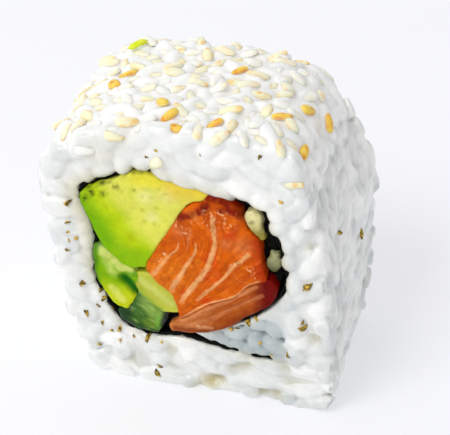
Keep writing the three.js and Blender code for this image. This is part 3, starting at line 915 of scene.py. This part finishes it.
def paint_rice(mesh, grains, rough, olive_tint):
    """The rice's tones: whiteness, with painted light on the top and painted shade low on the right,
    painted shade in the creases, and an olive tint that is stain near the nori and painted shade in the
    hollows.
    """
    co, n, e = coords(mesh), vertex_normals(mesh), edges(mesh)
    xz = co[:, [0, 2]]
    x, z = xz.T
    hollow = np.einsum("ij,ij->i", neighbour_mean(co, e) - co, n)
    for _ in range(2):
        hollow = 0.5 * hollow + 0.5 * neighbour_mean(hollow, e)
    crease = rise(hollow, 0.004, 0.05)

    tree = KDTree(len(grains.centres) * 3)
    for i, (c, a, long) in enumerate(zip(grains.centres, grains.axes, grains.longs)):
        for k, s in enumerate((-0.28, 0.0, 0.28)):
            tree.insert(Vector(c + a * long * s), i * 3 + k)
    tree.balance()
    tones = np.array(grains.tones)
    found = [tree.find(p)[1:] for p in co]
    tone = tones[np.array([i // 3 for i, _ in found])]
    tone = 0.6 * tone + 0.4 * neighbour_mean(tone, e)
    heart = 1 - rise(np.array([d for _, d in found]), 0.95, 1.3)
    in_wedge = inside(on_cut(WEDGE), xz) * rise(-co[:, 1], HALF - 3.5, HALF - 2.5)
    for _ in range(8):
        in_wedge = neighbour_mean(in_wedge, e)
    clear = np.maximum(rise(x, 5, 15) * rise(-z, -34, -26),
                       rise(-z, -13, -5) * rise(x, -9, -1))
    clear = clear * rise(-co[:, 1], HALF - 1.6, HALF - 0.4)
    # Painted light: whiter rice on the top, where the light falls brightest.
    up = rise(co[:, 2], 34, 40) * (1 - rise(-co[:, 1], HALF - 2.0, HALF - 0.5))
    even = pressed_flat(co)
    shady = rise(x, 16, 20) * rise(-z, -32, -22) * (1 - clear)
    tone = 0.48 + 0.5 * tone - 0.5 * in_wedge - 0.18 * clear + 0.3 * up - 0.12 * shady
    tone = tone * (1 - 0.5 * even) + 0.5 * even * 0.74
    tone -= 0.16 * (heart - 0.4) * (1 - even)
    face = rise(np.abs(co[:, 1]), HALF - 1.6, HALF - 0.4)
    left_of_fruit = rise(-x, 8.0, 12.0) * rise(z, 14, 20)
    reach = 0.8 + 1.1 * left_of_fruit
    seep = (0.30 + 0.25 * left_of_fruit) * np.exp(-(closest(xz, COIL_LINE)[0] / reach) ** 2) * face
    warm = 0.22 * np.maximum(spot(xz, 100, 158, 3.0), spot(xz, 118, 138, 2.5)) * face
    # The olive tint holds the stain near the nori, the warm tint and the painted shade of the hollows.
    olive_tint = np.clip(np.maximum(np.maximum(olive_tint, seep), warm), 0, 1)
    tone = 1 - 0.65 * (1 - tone) - crease * (0.5 * in_wedge + 0.12 * rough)
    paint(mesh, "tone", np.column_stack([np.clip(tone, 0, 1), 0.6 * crease * (1 - in_wedge), olive_tint]))


rice = rice_piece()
RICE_TREE = BVHTree.FromPolygons([Vector(p) for p in coords(rice.data)],
                                 [tuple(p.vertices) for p in rice.data.polygons])
finish_piece(rice, rice_material(), ["rice"])


# ---- nori ----
def nori_piece():
    """The coiled sheet, crinkled, with ragged cut edges."""
    n = outward(COIL_LINE, closed=False)
    count, rows = len(COIL_LINE), 42
    end = HALF - NORI_BACK
    there = [(i, 1) for i in range(count)]
    there_and_back = there + [(i, -1) for i, _ in reversed(there)]
    rings = []
    for share in (k / (rows - 1) for k in range(rows)):
        ring = []
        for i, side in there_and_back:
            ragged = 0.55 * noise.noise(Vector((i * 0.31, side * 0.1, 7.0 * (share > 0.5))))
            y = (2 * share - 1) * (end + ragged * abs(2 * share - 1) ** 6)
            x, z = COIL_LINE[i] + n[i] * side * NORI_THICK / 2
            crinkle = 0.16 * noise.noise(Vector((x * 0.9, y * 0.7, z * 0.9)))
            crinkle += 0.07 * noise.noise(Vector((x * 2.9, y * 2.5, z * 2.9)))
            ring.append((x + n[i][0] * crinkle, y, z + n[i][1] * crinkle))
        rings.append(ring)
    obj = loft("nori_sheet", rings, capped=False)
    bm = bmesh.new()
    bm.from_mesh(obj.data)
    bm.verts.ensure_lookup_table()
    for first, step in ((0, 1), ((rows - 1) * 2 * count, -1)):
        for i in range(count - 1):
            corners = (i + 1, 2 * count - 2 - i, 2 * count - 1 - i, i)[::step]
            bm.faces.new([bm.verts[first + c] for c in corners])
    bm.to_mesh(obj.data)
    bm.free()
    return obj


NORI = nori_material()
finish_piece(nori_piece(), NORI, ["nori"])

# Crumpled nori deep in the gaps beside the fish.
NORI_FOLDS = {
    "nori_fold_right": [
        (7.5, 34), (12.2, 32.9), (13.6, 29.6), (15, 26.2), (15.5, 23.5), (15.4, 21.6),
        (14.3, 20.5), (12, 22), (11.8, 25.5), (11, 28), (9, 30.5),
    ],
    "nori_fold_low": [(-2.6, 9), (-0.2, 9.1), (0.6, 11.5), (-0.4, 13.2), (-1.8, 11.5)],
}


def soft_block(name, outline, half, round_by, voxel, relax_times, rough, seed):
    """A rounded run of one filling from cut to cut, with its surface roughened."""
    ring = anticlockwise(straight(outline, 160))
    obj = prism(name, ring + outward(ring) * 0.08, -half, half, round_by)
    remesh(obj, voxel)
    relax(obj.data, relax_times)
    co, n = coords(obj.data), vertex_normals(obj.data)
    for i, (size, depth) in enumerate(rough):
        co += n * (wobble(co, size, seed + i) * depth)[:, None]
    set_coords(obj.data, co)
    return obj


for fold, outline in NORI_FOLDS.items():
    finish_piece(soft_block(fold, outline, HALF - 1.7, 0.5, 0.4, 2, [(1.6, 0.5), (0.7, 0.25)], 40),
                 NORI)


# ---- fillings ----


def blend(a, b, t):
    """From colour a to colour b by t, for each vertex; either may be one colour for all."""
    t = np.asarray(t)[:, None]
    a, b = (np.asarray(c, float)[..., :3] for c in (a, b))
    return a * (1 - t) + b * t


def trail(xz, picture_line, width, soft=0.6):
    """1 along a line given by places in the picture of the front cut, falling off beyond its width."""
    d = closest(xz, on_cut(picture_line))[0]
    return 1 - rise(d, width * (1 - soft), width * (1 + soft))


def flow_field(xz, y, lines):
    """How far each place is across a fan of lines and along them, for fibres that follow the lines."""
    found = [closest(xz, curve(line, 30, False)) for line in lines]
    ds = np.array([d for d, _, _ in found])
    order = np.argsort(ds, axis=0)
    first, second = order[0], order[1]
    cols = np.arange(len(xz))
    d1, d2 = ds[first, cols], ds[second, cols]
    across = (first * d2 + second * d1) / np.maximum(d1 + d2, 1e-6)
    along = np.array([s for _, s, _ in found])[first, cols]
    return np.column_stack([across * 4.0, along * 3.0, y * 0.25])


def near_spot(xz, *places):
    """1 at places given by their picture u, v and a size in mm, falling off round each."""
    return np.clip(sum(spot(xz, *place) for place in places), 0, 1)


class Filling:
    """One filling: its mesh, the places of its vertices in the section, and their colours."""

    def __init__(self, node, name, past, round_by, voxel, relax_times, rough, seed):
        """`past` is how far the piece stands out of the cuts."""
        self.node = node
        self.obj = soft_block(name, OUTLINES[node], HALF + past, round_by, voxel, relax_times, rough, seed)
        self.mesh = self.obj.data
        self.co, self.n = coords(self.mesh), vertex_normals(self.mesh)
        self.xz = self.co[:, [0, 2]]
        self.x, self.z = self.xz.T
        self.tint = None

    def glaze(self, colour, share):
        """Lays a screen colour over the tint; each vertex takes its own share of it."""
        self.tint = blend(self.tint, rgb(*colour), share)

    def line(self, colour, strength, places, width, soft=0.6):
        self.glaze(colour, strength * trail(self.xz, places, width, soft))

    def dabs(self, colour, strength, *places):
        self.glaze(colour, strength * near_spot(self.xz, *places))

    def rim(self):
        """How far each vertex is from the nori."""
        return closest(self.xz, COIL_LINE)[0]

    def push(self, depth):
        """Moves the surface out by a depth for each vertex."""
        self.co += self.n * depth[:, None]
        set_coords(self.mesh, self.co)

    def finish(self, mat):
        paint(self.mesh, "tint", self.tint)
        finish_piece(self.obj, mat, [self.node])


def salmon_main():
    f = Filling("salmon_main", "salmon_slice", 0.25, 0.35, 0.15, 4, [(3.2, 0.18), (1.1, 0.07)], 3)
    co, xz = f.co, f.xz
    mottle = wobble(co, 1.4, 8)
    ragged = wobble(co, 0.6, 9)
    face = rise(np.abs(f.n[:, 1]), 0.35, 0.8)

    light = 0.7 * (1 - rise(np.hypot(f.x + 1.5, f.z - 19.5), 2, 7))
    f.tint = blend(rgb(219, 100, 0), rgb(232, 128, 30), light)
    f.dabs((222, 74, 0), 0.8, (212, 259, 1.2), (214, 275, 1.2), (186, 291, 0.8), (206, 300, 0.8),
           (230, 235, 1.0))
    f.glaze((192, 56, 0), 0.8 * rise(f.x + 0.12 * f.z + 0.4 * mottle, 13.4, 15.6))
    # Painted highlights: pale patches where the wet flesh catches the light.
    f.dabs((226, 138, 84), 0.55, (180, 230, 1.0), (244, 246, 1.3), (226, 243, 0.8))
    f.glaze((248, 150, 40), 0.5 * rise(wobble(np.column_stack([xz, co[:, 1]]), 0.8, 12), 0.1, 0.5)
            * near_spot(xz, (170, 275, 2.2), (190, 262, 2.0), (232, 262, 2.0), (214, 282, 1.8)))
    # Painted shade: the top of the fish, where it folds back into the roll, darkened to deep red; the fold
    # is also raised a little below.
    fold = trail(xz, [(180, 216), (190, 214), (201, 210), (207, 204)], 0.55, 0.7)
    fold = np.maximum(fold, trail(xz, [(222, 208), (232, 210), (240, 216)], 0.5, 0.8))
    top = rise(f.z + 0.25 * f.x + 0.5 * mottle, 34.2, 35.4)
    f.glaze((128, 26, 0), np.clip(np.maximum(fold, top) * (0.9 + 0.5 * ragged), 0, 0.95))
    fat = np.zeros(len(co))
    for line, start, end, strength in FAT_LINES:
        d, where, _ = closest(xz, curve(line, 40, False))
        reach = 1.12 * (start + (end - start) * where) * (1 + 0.35 * mottle + 0.4 * ragged)
        ends = rise(where, 0, 0.06) * (1 - 0.5 * rise(where, 0.9, 1.0))
        fat = np.maximum(fat, strength * ends * (1 - rise(d, 0.35 * reach, 1.45 * reach)))
    f.glaze((246, 184, 122), fat * (0.38 + 0.62 * face))
    # Painted glints: where the wet top catches the light, the shader mixes pale specks into the colour.
    painted_glints = sum(trail(xz, line, width, 0.8) for line, width in (
        ([(209, 213), (213, 228)], 0.75), ([(222, 214), (231, 227)], 0.8), ([(176, 222), (188, 232)], 0.55),
        ([(194, 221), (205, 221)], 0.4), ([(232, 266), (248, 255)], 0.35), ([(236, 297), (246, 291)], 0.3),
        ([(250, 268), (256, 275)], 0.5), ([(157, 262), (166, 252)], 0.25)))
    f.push((fat * 0.07 + fold * 0.2) * face)
    paint(f.mesh, "painted_glints", np.clip(painted_glints, 0, 1))
    paint(f.mesh, "flow", flow_field(xz, co[:, 1], [line for line, *_ in FAT_LINES[:5]]))
    f.finish(salmon_material("salmon_flesh"))


def salmon_lower():
    f = Filling("salmon_lower", "salmon_under_slice", 0.05, 0.3, 0.2, 3, [(3.0, 0.12), (1.2, 0.07)], 5)
    along = f.x + 0.6 * wobble(f.co, 1.8, 9)
    f.tint = blend(rgb(202, 124, 68), rgb(180, 88, 28), rise(along, 2.0, 7.5))
    f.glaze((118, 14, 0), rise(along, 10.6, 13.2))
    f.line((140, 62, 20), 0.7, [(176, 328), (200, 332), (222, 329), (246, 316)], 0.5)
    # Painted highlight: the pale line along the top edge.
    f.line((232, 156, 104), 0.6, [(182, 321), (206, 310), (230, 300), (256, 287)], 0.3)
    f.line((216, 140, 92), 0.45, [(186, 326), (210, 319), (236, 306), (262, 296)], 0.3)
    # Painted glint: a pale dash on the lower edge, and the glint mask there.
    f.line((232, 170, 124), 0.6, [(198, 327), (212, 328)], 0.25)
    paint(f.mesh, "painted_glints", np.clip(0.7 * trail(f.xz, [(196, 326), (214, 325)], 0.3), 0, 1))
    run = [(0.5, 11.0), (5.5, 14.0), (13.0, 19.6)], [(0.9, 13.0), (6.0, 16.8), (14.0, 22.0)]
    paint(f.mesh, "flow", flow_field(f.xz, f.co[:, 1], run))
    f.finish(salmon_material("salmon_flesh_lower"))


GREEN, MID, YELLOW = rgb(120, 178, 0), rgb(192, 214, 24), rgb(224, 224, 92)
NORI_STAIN = (52, 60, 6)


def avocado_large():
    f = Filling("avocado_large", "avocado_wedge", 0.1, 0.3, 0.18, 4, [(4.0, 0.22), (1.3, 0.08)], 12)
    co, xz = f.co, f.xz
    across = (xz - (-11.5, 24.0)) @ np.array([0.80, 0.60]) + 0.8 * wobble(co, 4.0, 21)
    across += 0.35 * wobble(co, 1.2, 22)
    f.tint = blend(blend(GREEN, MID, rise(across, 1.6, 6.0)), YELLOW, rise(across, 5.2, 8.6))
    f.glaze((96, 158, 0), 1 - rise(across, -1.2, 1.2))
    f.glaze((234, 220, 52), 0.7 * rise(f.z + 0.5 * wobble(co, 1.6, 25), 33.0, 35.0)
            * rise(f.x, -8, -4))
    # Painted highlights: pale spots where the flesh catches the light.
    f.dabs((240, 238, 160), 0.6, (152, 217, 0.9), (146, 196, 1.2), (168, 196, 1.2))
    f.line((142, 190, 0), 0.8, [(116, 254), (132, 258), (146, 256)], 1.5, 0.8)
    pits = rise(wobble(co, 0.7, 31), 0.34, 0.5) * rise(f.z, 31.0, 33.5)
    pits = np.maximum(0.6 * pits, 0.3 * rise(wobble(co, 1.0, 33), 0.45, 0.6))
    pits = np.maximum(pits, spot(xz, 132, 238, 0.8))
    pits = np.maximum(pits, 0.9 * near_spot(xz, (143, 210, 0.35), (157, 208, 0.3), (145, 222, 0.3),
                                            (155, 224, 0.3), (133, 190, 0.4)))
    f.glaze((168, 182, 14), pits * 0.6)
    olive_tint = sum(spot(xz, *place) for place in (
        (91, 192, 0.7), (103, 193, 0.5), (116, 186, 0.45), (84, 197, 0.6), (135, 190, 0.16)))
    olive_tint = olive_tint * (0.6 + 1.1 * wobble(co, 0.45, 37))
    ragged = 0.45 + 0.6 * wobble(co, 0.9, 35)
    olive_tint = np.maximum(olive_tint, (1 - rise(f.rim(), 0.3, 0.9)) * ragged)
    tip = rise(f.x, -2.5, 0.5)
    f.glaze(NORI_STAIN, np.clip(olive_tint * (1 - 0.7 * tip), 0, 0.9))
    f.glaze((232, 196, 70), 0.6 * tip * rise(f.z, 31.5, 34.0))
    f.push(-0.15 * pits)
    f.finish(avocado_material("avocado_flesh"))


def avocado_small():
    f = Filling("avocado_small", "avocado_chunk", -0.1, 0.35, 0.18, 4, [(2.2, 0.3), (0.9, 0.12)], 14)
    xz = f.xz
    f.tint = blend(rgb(130, 180, 0), rgb(196, 208, 22), rise(-f.z, -18.2, -14.5))
    pale = trail(xz, [(103, 251), (111, 257), (121, 266), (132, 270)], 0.8, 0.7)
    pale = np.maximum(pale, 0.7 * trail(xz, [(108, 262), (113, 272)], 0.7, 0.9))
    pale = pale * (0.8 + 0.5 * wobble(f.co, 0.8, 26))
    f.glaze((216, 224, 120), np.clip(pale, 0, 1))
    f.dabs((160, 186, 120), 0.8, (98, 244, 0.8), (100, 240, 0.6))
    # Painted shade: a dark green line in the fold.
    f.line((96, 160, 6), 0.8, [(120, 277), (128, 274), (134, 275)], 0.45)
    # Painted highlight: a pale streak on the lower lobe.
    f.line((228, 232, 110), 0.7, [(112, 288), (122, 300)], 0.6)
    f.glaze((70, 128, 4), (1 - rise(f.rim(), 0.3, 1.2)) * 0.85)
    # Painted shade: the dark green gap between the lobe and the cucumber, also sunk in a little.
    gap = trail(xz, [(124, 280), (130, 284), (136, 291)], 0.8, 0.8)
    f.glaze((24, 96, 10), gap)
    f.push((0.25 * pale - 0.35 * gap) * rise(-f.n[:, 1], 0.3, 0.8))
    f.finish(avocado_material("avocado_flesh_small"))


def cucumber_pale():
    f = Filling("cucumber_pale", "cucumber_core", -0.1, 0.15, 0.18, 1, [(2.4, 0.12), (0.8, 0.04)], 16)
    across = (f.xz - (-4.4, 15.6)) @ np.array([0.72, 0.69]) + 0.3 * wobble(f.co, 1.4, 23)
    f.tint = blend(rgb(158, 178, 36), rgb(194, 198, 62), rise(across, -0.6, 1.4))
    f.line((212, 218, 112), 0.6, [(140, 280), (156, 292), (170, 304)], 0.6)
    f.line((120, 160, 30), 0.7, [(140, 293), (150, 304), (160, 310)], 0.3)
    f.finish(cucumber_material("cucumber_flesh"))


def cucumber_green():
    f = Filling("cucumber_green", "cucumber_rind", -0.35, 0.2, 0.2, 2, [(2.0, 0.18), (0.8, 0.06)], 18)
    xz = f.xz
    f.tint = blend(rgb(56, 104, 8), rgb(102, 136, 12),
                   rise(f.x + 1.2 * wobble(f.co, 1.1, 3), -5.6, -3.2))
    f.line((150, 184, 84), 0.6, [(144, 302), (150, 312), (158, 318)], 0.8, 0.9)
    f.line((120, 190, 60), 0.6, [(157, 318), (157, 330)], 0.35, 0.7)
    veins = wobble(np.column_stack([xz @ (0.5, 0.87) * 3.0, xz @ (0.87, -0.5), f.co[:, 1]]), 1.3, 29)
    f.glaze((176, 200, 110), 0.45 * rise(veins, 0.1, 0.5))
    f.glaze((10, 62, 4), 0.9 * (1 - rise(f.rim() + 0.8 * veins, 0.5, 2.0)))
    f.glaze((9, 56, 4), 0.9 * (1 - rise(f.x + 0.5 * veins, -7.5, -6.0)))
    f.line((6, 20, 3), 1.0, [(168, 314), (164, 328)], 0.8)
    f.finish(cucumber_material("cucumber_skin_side"))


def sliver(node, past, low_colour, high_colour, mat):
    """A thin edge of filling that shows beside the fish, limp and uneven."""
    f = Filling(node, node + "_edge", past, 0.5, 0.2, 3, [(1.6, 0.35), (0.7, 0.18)], 22)
    z = f.co[:, 2] + 0.5 * wobble(f.co, 0.9, 41)
    f.tint = blend(rgb(*low_colour), rgb(*high_colour), rise(z, z.min() + 0.8, z.max() - 1.0))
    f.glaze(NORI_STAIN, 0.5 * rise(wobble(f.co, 1.1, 43), 0.25, 0.6))
    f.finish(mat)


salmon_main()
salmon_lower()
avocado_large()
avocado_small()
cucumber_pale()
cucumber_green()
sliver("sliver_upper", -0.35, (150, 140, 60), (238, 228, 168), avocado_material("avocado_edge"))
sliver("sliver_lower", -0.9, (84, 88, 50), (164, 166, 120), cucumber_material("cucumber_edge"))

# ---- sesame ----
SEED_LONG, SEED_WIDE, SEED_THICK = 3.2, 1.75, 1.05
SEED_SIDES, SEED_STEPS = 12, 9

# Seeds that stand out, by where they show in the picture: u, v, kind, lean in degrees.
MARKED_SEEDS = [
    (115, 85, "toasted", -21), (175, 72, "golden", -10), (205, 70, "golden", 20), (157, 75, "golden", -15),
    (239, 70, "toasted", 20), (162, 101, "toasted", -60), (169, 115, "toasted", 40),
    (176, 128, "toasted", -22), (202, 106, "golden", -12), (230, 110, "golden", 8),
    (250, 101, "golden", -40), (212, 125, "toasted", 12), (234, 127, "golden", 70),
    (219, 139, "golden", 35), (272, 86, "golden", 5), (282, 116, "toasted", -10), (292, 124, "golden", -50),
    (309, 110, "toasted", -5), (309, 96, "pale", 10), (321, 95, "golden", 80), (337, 86, "toasted", -60),
    (329, 123, "toasted", -80), (304, 152, "toasted", 85), (291, 144, "golden", -60),
    (260, 124, "pale", 5), (255, 131, "pale", 3), (115, 136, "golden", -5), (153, 165, "golden", 30),
    (94, 96, "golden", -3), (106, 61, "golden", 25), (64, 132, "golden", 60), (77, 125, "golden", 40),
    (74, 112, "golden", 50), (292, 185, "golden", -5), (215, 50, "golden", -10), (226, 50, "golden", -25),
    (176, 43, "pale", 4), (195, 52, "pale", 2), (167, 53, "pale", 0), (86, 150, "pale", 0),
    (184, 122, "pale", 40), (194, 118, "pale", -15), (246, 53, "pale", 5),
]


# For each kind: colour of body and tip, how its depth in the rice varies, and how pale it may be.
SEED_KINDS = {
    "pale": (rgb(254, 250, 238), rgb(255, 234, 180), (-0.4, -0.18), 0.7),
    "golden": (rgb(255, 245, 205), rgb(255, 180, 34), (-0.34, -0.12), 0.45),
    "toasted": (rgb(255, 214, 96), rgb(216, 108, 2), (-0.22, -0.02), 0.0),
}


def seed_ring(k):
    t = k / SEED_STEPS
    return -math.cos(math.pi * t), math.sin(math.pi * t ** 0.82) ** 0.85


def surface(origin, direction):
    """Where a line meets the rice, and the way out there, evened over the lumps around it."""
    origin, direction = Vector(origin), Vector(direction).normalized()
    hit, n, _, _ = RICE_TREE.ray_cast(origin, direction)
    if hit is None:
        return None
    side = direction.orthogonal().normalized()
    up = direction.cross(side)
    around = []
    for k in range(6):
        a = k * math.pi / 3
        o = origin + (side * math.cos(a) + up * math.sin(a)) * 1.1
        p = RICE_TREE.ray_cast(o, direction)[0]
        if p is not None and (p - hit).length < 3.5:
            around.append(p)
    if len(around) >= 3:
        total = Vector()
        for a, b in zip(around, around[1:] + around[:1]):
            total += (a - hit).cross(b - hit)
        if total.length > 1e-6:
            total.normalize()
            if total.dot(direction) > 0:
                total.negate()
            n = (total * 0.8 + n * 0.2).normalized()
    return np.array(hit), np.array(n)


def seed_places():
    """Sesame lies thick on the top and thins out over its edges."""
    places = []
    taken = []

    def free(p, gap):
        return all((p[0] - q[0]) ** 2 + (p[1] - q[1]) ** 2 + (p[2] - q[2]) ** 2 > gap ** 2
                   for q in taken)
    for u, v, kind, lean in MARKED_SEEDS:
        found = surface(CAM_AT, sight(u, v))
        if found is None:
            continue
        p, n = found
        ends = []
        for way in (-5, 5):
            d = sight(u + way * math.cos(math.radians(lean)), v - way * math.sin(math.radians(lean)))
            ends.append(CAM_AT + d * ((p - CAM_AT) @ n) / (d @ n))
        places.append((p, n, kind, ends[1] - ends[0]))
        taken.append(p)
    count = 0
    for _ in range(4000):
        x, y = rng.uniform(-22, 23), rng.uniform(-HALF - 0.3, HALF - 0.2)
        found = surface((x, y, 60), (0, 0, -1))
        if found is None:
            continue
        p, n = found
        if p[2] < 33 or n[2] < (0.7 if x > 8 else 0.4) or (n[2] < 0.8 and rng.random() < 0.5):
            continue
        if y < -HALF + 2.2 and rng.random() < 0.8:
            continue
        if x > 14 and rng.random() < 0.3:
            continue
        if not free(p, rng.uniform(1.8, 2.7)):
            continue
        kind = rng.choice(["pale", "golden", "toasted"], p=[0.50, 0.47, 0.03])
        spin = rng.normal(0, 0.75)
        places.append((p, n, kind, np.array([math.cos(spin), math.sin(spin), rng.normal(0, 0.12)])))
        taken.append(p)
        count += 1
        if count >= 100:
            break
    return places


def sesame():
    shape, faces = pod(SEED_SIDES, [seed_ring(k) for k in range(1, SEED_STEPS)], 0.8)
    batches = {kind: (Batch(), []) for kind in SEED_KINDS}
    for p, n, kind, along in seed_places():
        _, _, sunk, most_faded = SEED_KINDS[kind]
        batch, tones = batches[kind]
        if rng.random() < 0.5:
            along = -along
        out = n + rng.normal(0, 0.16, 3)
        out /= np.linalg.norm(out)
        by = rng.uniform(0.86, 1.1)
        v = shape * (SEED_WIDE * by * rng.uniform(0.9, 1.1) / 2, SEED_THICK / 2, SEED_LONG * by / 2)
        at = p + out * SEED_THICK * rng.uniform(*sunk)
        batch.join(lay(v, at, square_to(out, along), out), faces)
        tip = rise(shape[:, 2], rng.uniform(-0.2, 0.3), 1.0) * rng.uniform(0.5, 1.0)
        tip = np.maximum(tip, 0.7 * rise(np.abs(shape[:, 0]), 0.55, 1.0))
        blot = np.hypot(shape[:, 0] - rng.uniform(-0.3, 0.3), (shape[:, 2] - rng.uniform(-0.5, 0.5)) * 1.3)
        tip = np.maximum(tip, rng.choice((0.0, 1.0), p=(0.45, 0.55)) * (1 - rise(blot, 0.2, 0.6)))
        paleness_and_lit_underside = rng.uniform(0, most_faded)
        # Painted light: the underside, where the seed meets the rice, is made paler, softening its shade.
        paleness_and_lit_underside = np.clip(paleness_and_lit_underside + 0.5 * rise(-shape[:, 1], -0.35, 0.5), 0, 0.8)
        tones.extend(np.column_stack([tip, paleness_and_lit_underside, np.zeros(len(tip))]))
    for kind, (batch, tones) in batches.items():
        obj = make("sesame_" + kind, batch.verts, batch.faces)
        paint(obj.data, "tone", np.array(tones))
        finish_piece(obj, sesame_material("sesame_" + kind, *SEED_KINDS[kind][:2]))


sesame()

# ---- crumbs of nori on the rice, by where they show in the picture: u, v, size in mm ----
CRUMBS = [
    (67, 203, 1.3), (68, 222, 1.1), (77, 238, 1.1), (69, 240, 0.7), (67, 250, 0.9), (83, 282, 1.5),
    (87, 313, 1.3), (121, 340, 0.9), (157, 373, 1.1), (308, 287, 1.6), (303, 328, 1.7),
    (288, 356, 1.1), (260, 343, 0.7), (231, 329, 1), (272, 355, 0.7), (103, 298, 1.2),
    (98, 305, 1), (339, 233, 1.5), (361, 235, 1.5), (146, 157, 0.8), (156, 151, 0.7),
    (260, 157, 0.7), (200, 155, 0.5), (130, 83, 0.6), (343, 90, 0.7), (281, 202, 0.9),
    (103, 322, 1.1), (99, 344, 0.7), (162, 342, 0.9), (114, 309, 0.9), (68, 232, 0.6),
    (120, 328, 1.4), (112, 330, 0.8), (148, 338, 1), (134, 336, 0.7), (248, 322, 1.3), (256, 318, 1),
    (236, 328, 0.8), (160, 366, 0.8), (302, 323, 0.8),
    (101, 290, 0.8), (123, 314, 0.7),
]


def crumbs():
    batch = Batch()
    for u, v, size in CRUMBS:
        found = surface(CAM_AT, sight(u, v))
        if found is None:
            continue
        p, n = found
        side = np.cross(n, rng.normal(0, 1, 3))
        side /= np.linalg.norm(side)
        up = np.cross(n, side)
        corners = rng.integers(3, 6)
        ring = range(corners)
        verts = []
        for lift, share in ((-0.15, 1.0), (0.22, 0.55)):
            for i in ring:
                a = 2 * math.pi * (i + rng.uniform(-0.3, 0.3)) / corners
                r = size * 0.72 * rng.uniform(0.35, 1.35) * share
                q = p + side * r * math.cos(a) + up * r * 0.6 * math.sin(a)
                verts.append(q + n * (lift + rng.uniform(-0.04, 0.12)) * size)
        faces = [tuple(reversed(ring)), tuple(corners + i for i in ring)]
        faces += [(i, (i + 1) % corners, corners + (i + 1) % corners, corners + i) for i in ring]
        batch.join(verts, faces)
    finish_piece(make("nori_crumbs", batch.verts, batch.faces), crumb_material())


crumbs()


def green_scrap():
    """A torn scrap of cucumber skin on the top, near the back."""
    rings = []
    for t in (k / 6 for k in range(7)):
        v = 50.5 - 4.5 * t + 1.2 * math.sin(5 * t)
        while surface(CAM_AT, sight(131 + 17 * t, v)) is None:
            v += 0.5
        p, n = surface(CAM_AT, sight(131 + 17 * t, v))
        half = 0.75 * math.sin(math.pi * (0.12 + 0.8 * t)) + 0.15
        lift = n * (0.55 + 0.25 * math.sin(4 * t))
        rings.append([p + lift + n * up + np.array([0.2, 0.75, 0.5]) * way * half
                      for way, up in ((-1, 0), (1, 0), (1, 0.3), (-1, 0.3))])
    obj = loft("green_scrap", rings)
    remesh(obj, 0.12)
    relax(obj.data, 3)
    deep = rise(wobble(coords(obj.data), 0.8, 5), -0.3, 0.3)
    paint(obj.data, "tint", blend(rgb(238, 242, 90), rgb(214, 228, 50), deep))
    finish_piece(obj, avocado_material("scrap_skin"))


green_scrap()


# ---- floor, lights and camera ----
def floor():
    w = FLOOR_HALF
    obj = make("floor", [(-w, -w, 0), (w, -w, 0), (w, w, 0), (-w, w, 0)], [(0, 1, 2, 3)])
    obj.data.materials.append(material("floor_white", {
        "Base Color": (0.52, 0.52, 0.53, 1.0), "Emission Color": (0.945, 0.955, 1.0, 1.0),
        "Emission Strength": 0.46, "Roughness": 0.9, "Specular IOR Level": 0.1,
    }).block)


def add(name, data, matrix):
    """Puts a light or a camera in the scene."""
    obj = bpy.data.objects.new(name, data)
    bpy.context.scene.collection.objects.link(obj)
    obj.matrix_world = matrix
    return obj


def area_light(name, place, size, power):
    data = bpy.data.lights.new(name, "AREA")
    data.shape = "DISK"
    data.size = size
    data.energy = power
    turn = (LIT - Vector(place)).to_track_quat("-Z", "Y")
    add(name, data, Matrix.Translation(place) @ turn.to_matrix().to_4x4())


def lights():
    """A pale room, brighter on the left, and a soft light from the upper left."""
    world = bpy.data.worlds.new("studio")
    look = Look(world, "Background", {0: (0.985, 0.985, 1.0, 1.0)})
    way = look.node("SeparateXYZ", {0: look.node("TexCoord").outputs["Generated"]})
    level = look.node("MapRange", {"Value": way.outputs[0], "From Min": -1.0, "From Max": 1.0,
                                   "To Min": 0.99, "To Max": 0.50})
    look.put(look.shader, {1: level.outputs[0]})
    bpy.context.scene.world = world
    area_light("key", (-0.32, -0.46, 0.66), 0.40, 2.7)
    area_light("glint", (-0.14, -0.62, 0.26), 0.05, 0.14)


def camera():
    data = bpy.data.cameras.new("camera")
    data.sensor_width = 36.0
    data.lens = FOCAL_PX * 36.0 / PICTURE_W
    data.clip_start, data.clip_end = 0.01, 20.0
    axes = Matrix((CAM_RIGHT, CAM_UP, CAM_BACK)).transposed().to_4x4()
    place = Matrix.Translation(TO_FRAME @ Vector(CAM_AT))
    bpy.context.scene.camera = add("camera", data, place @ axes)


FLOOR_HALF = 12.0
LIT = Vector((0.0, 0.0, 0.02))

floor()
lights()
camera()
scene = bpy.context.scene
scene.view_settings.view_transform = "Standard"
scene.view_settings.look = "None"
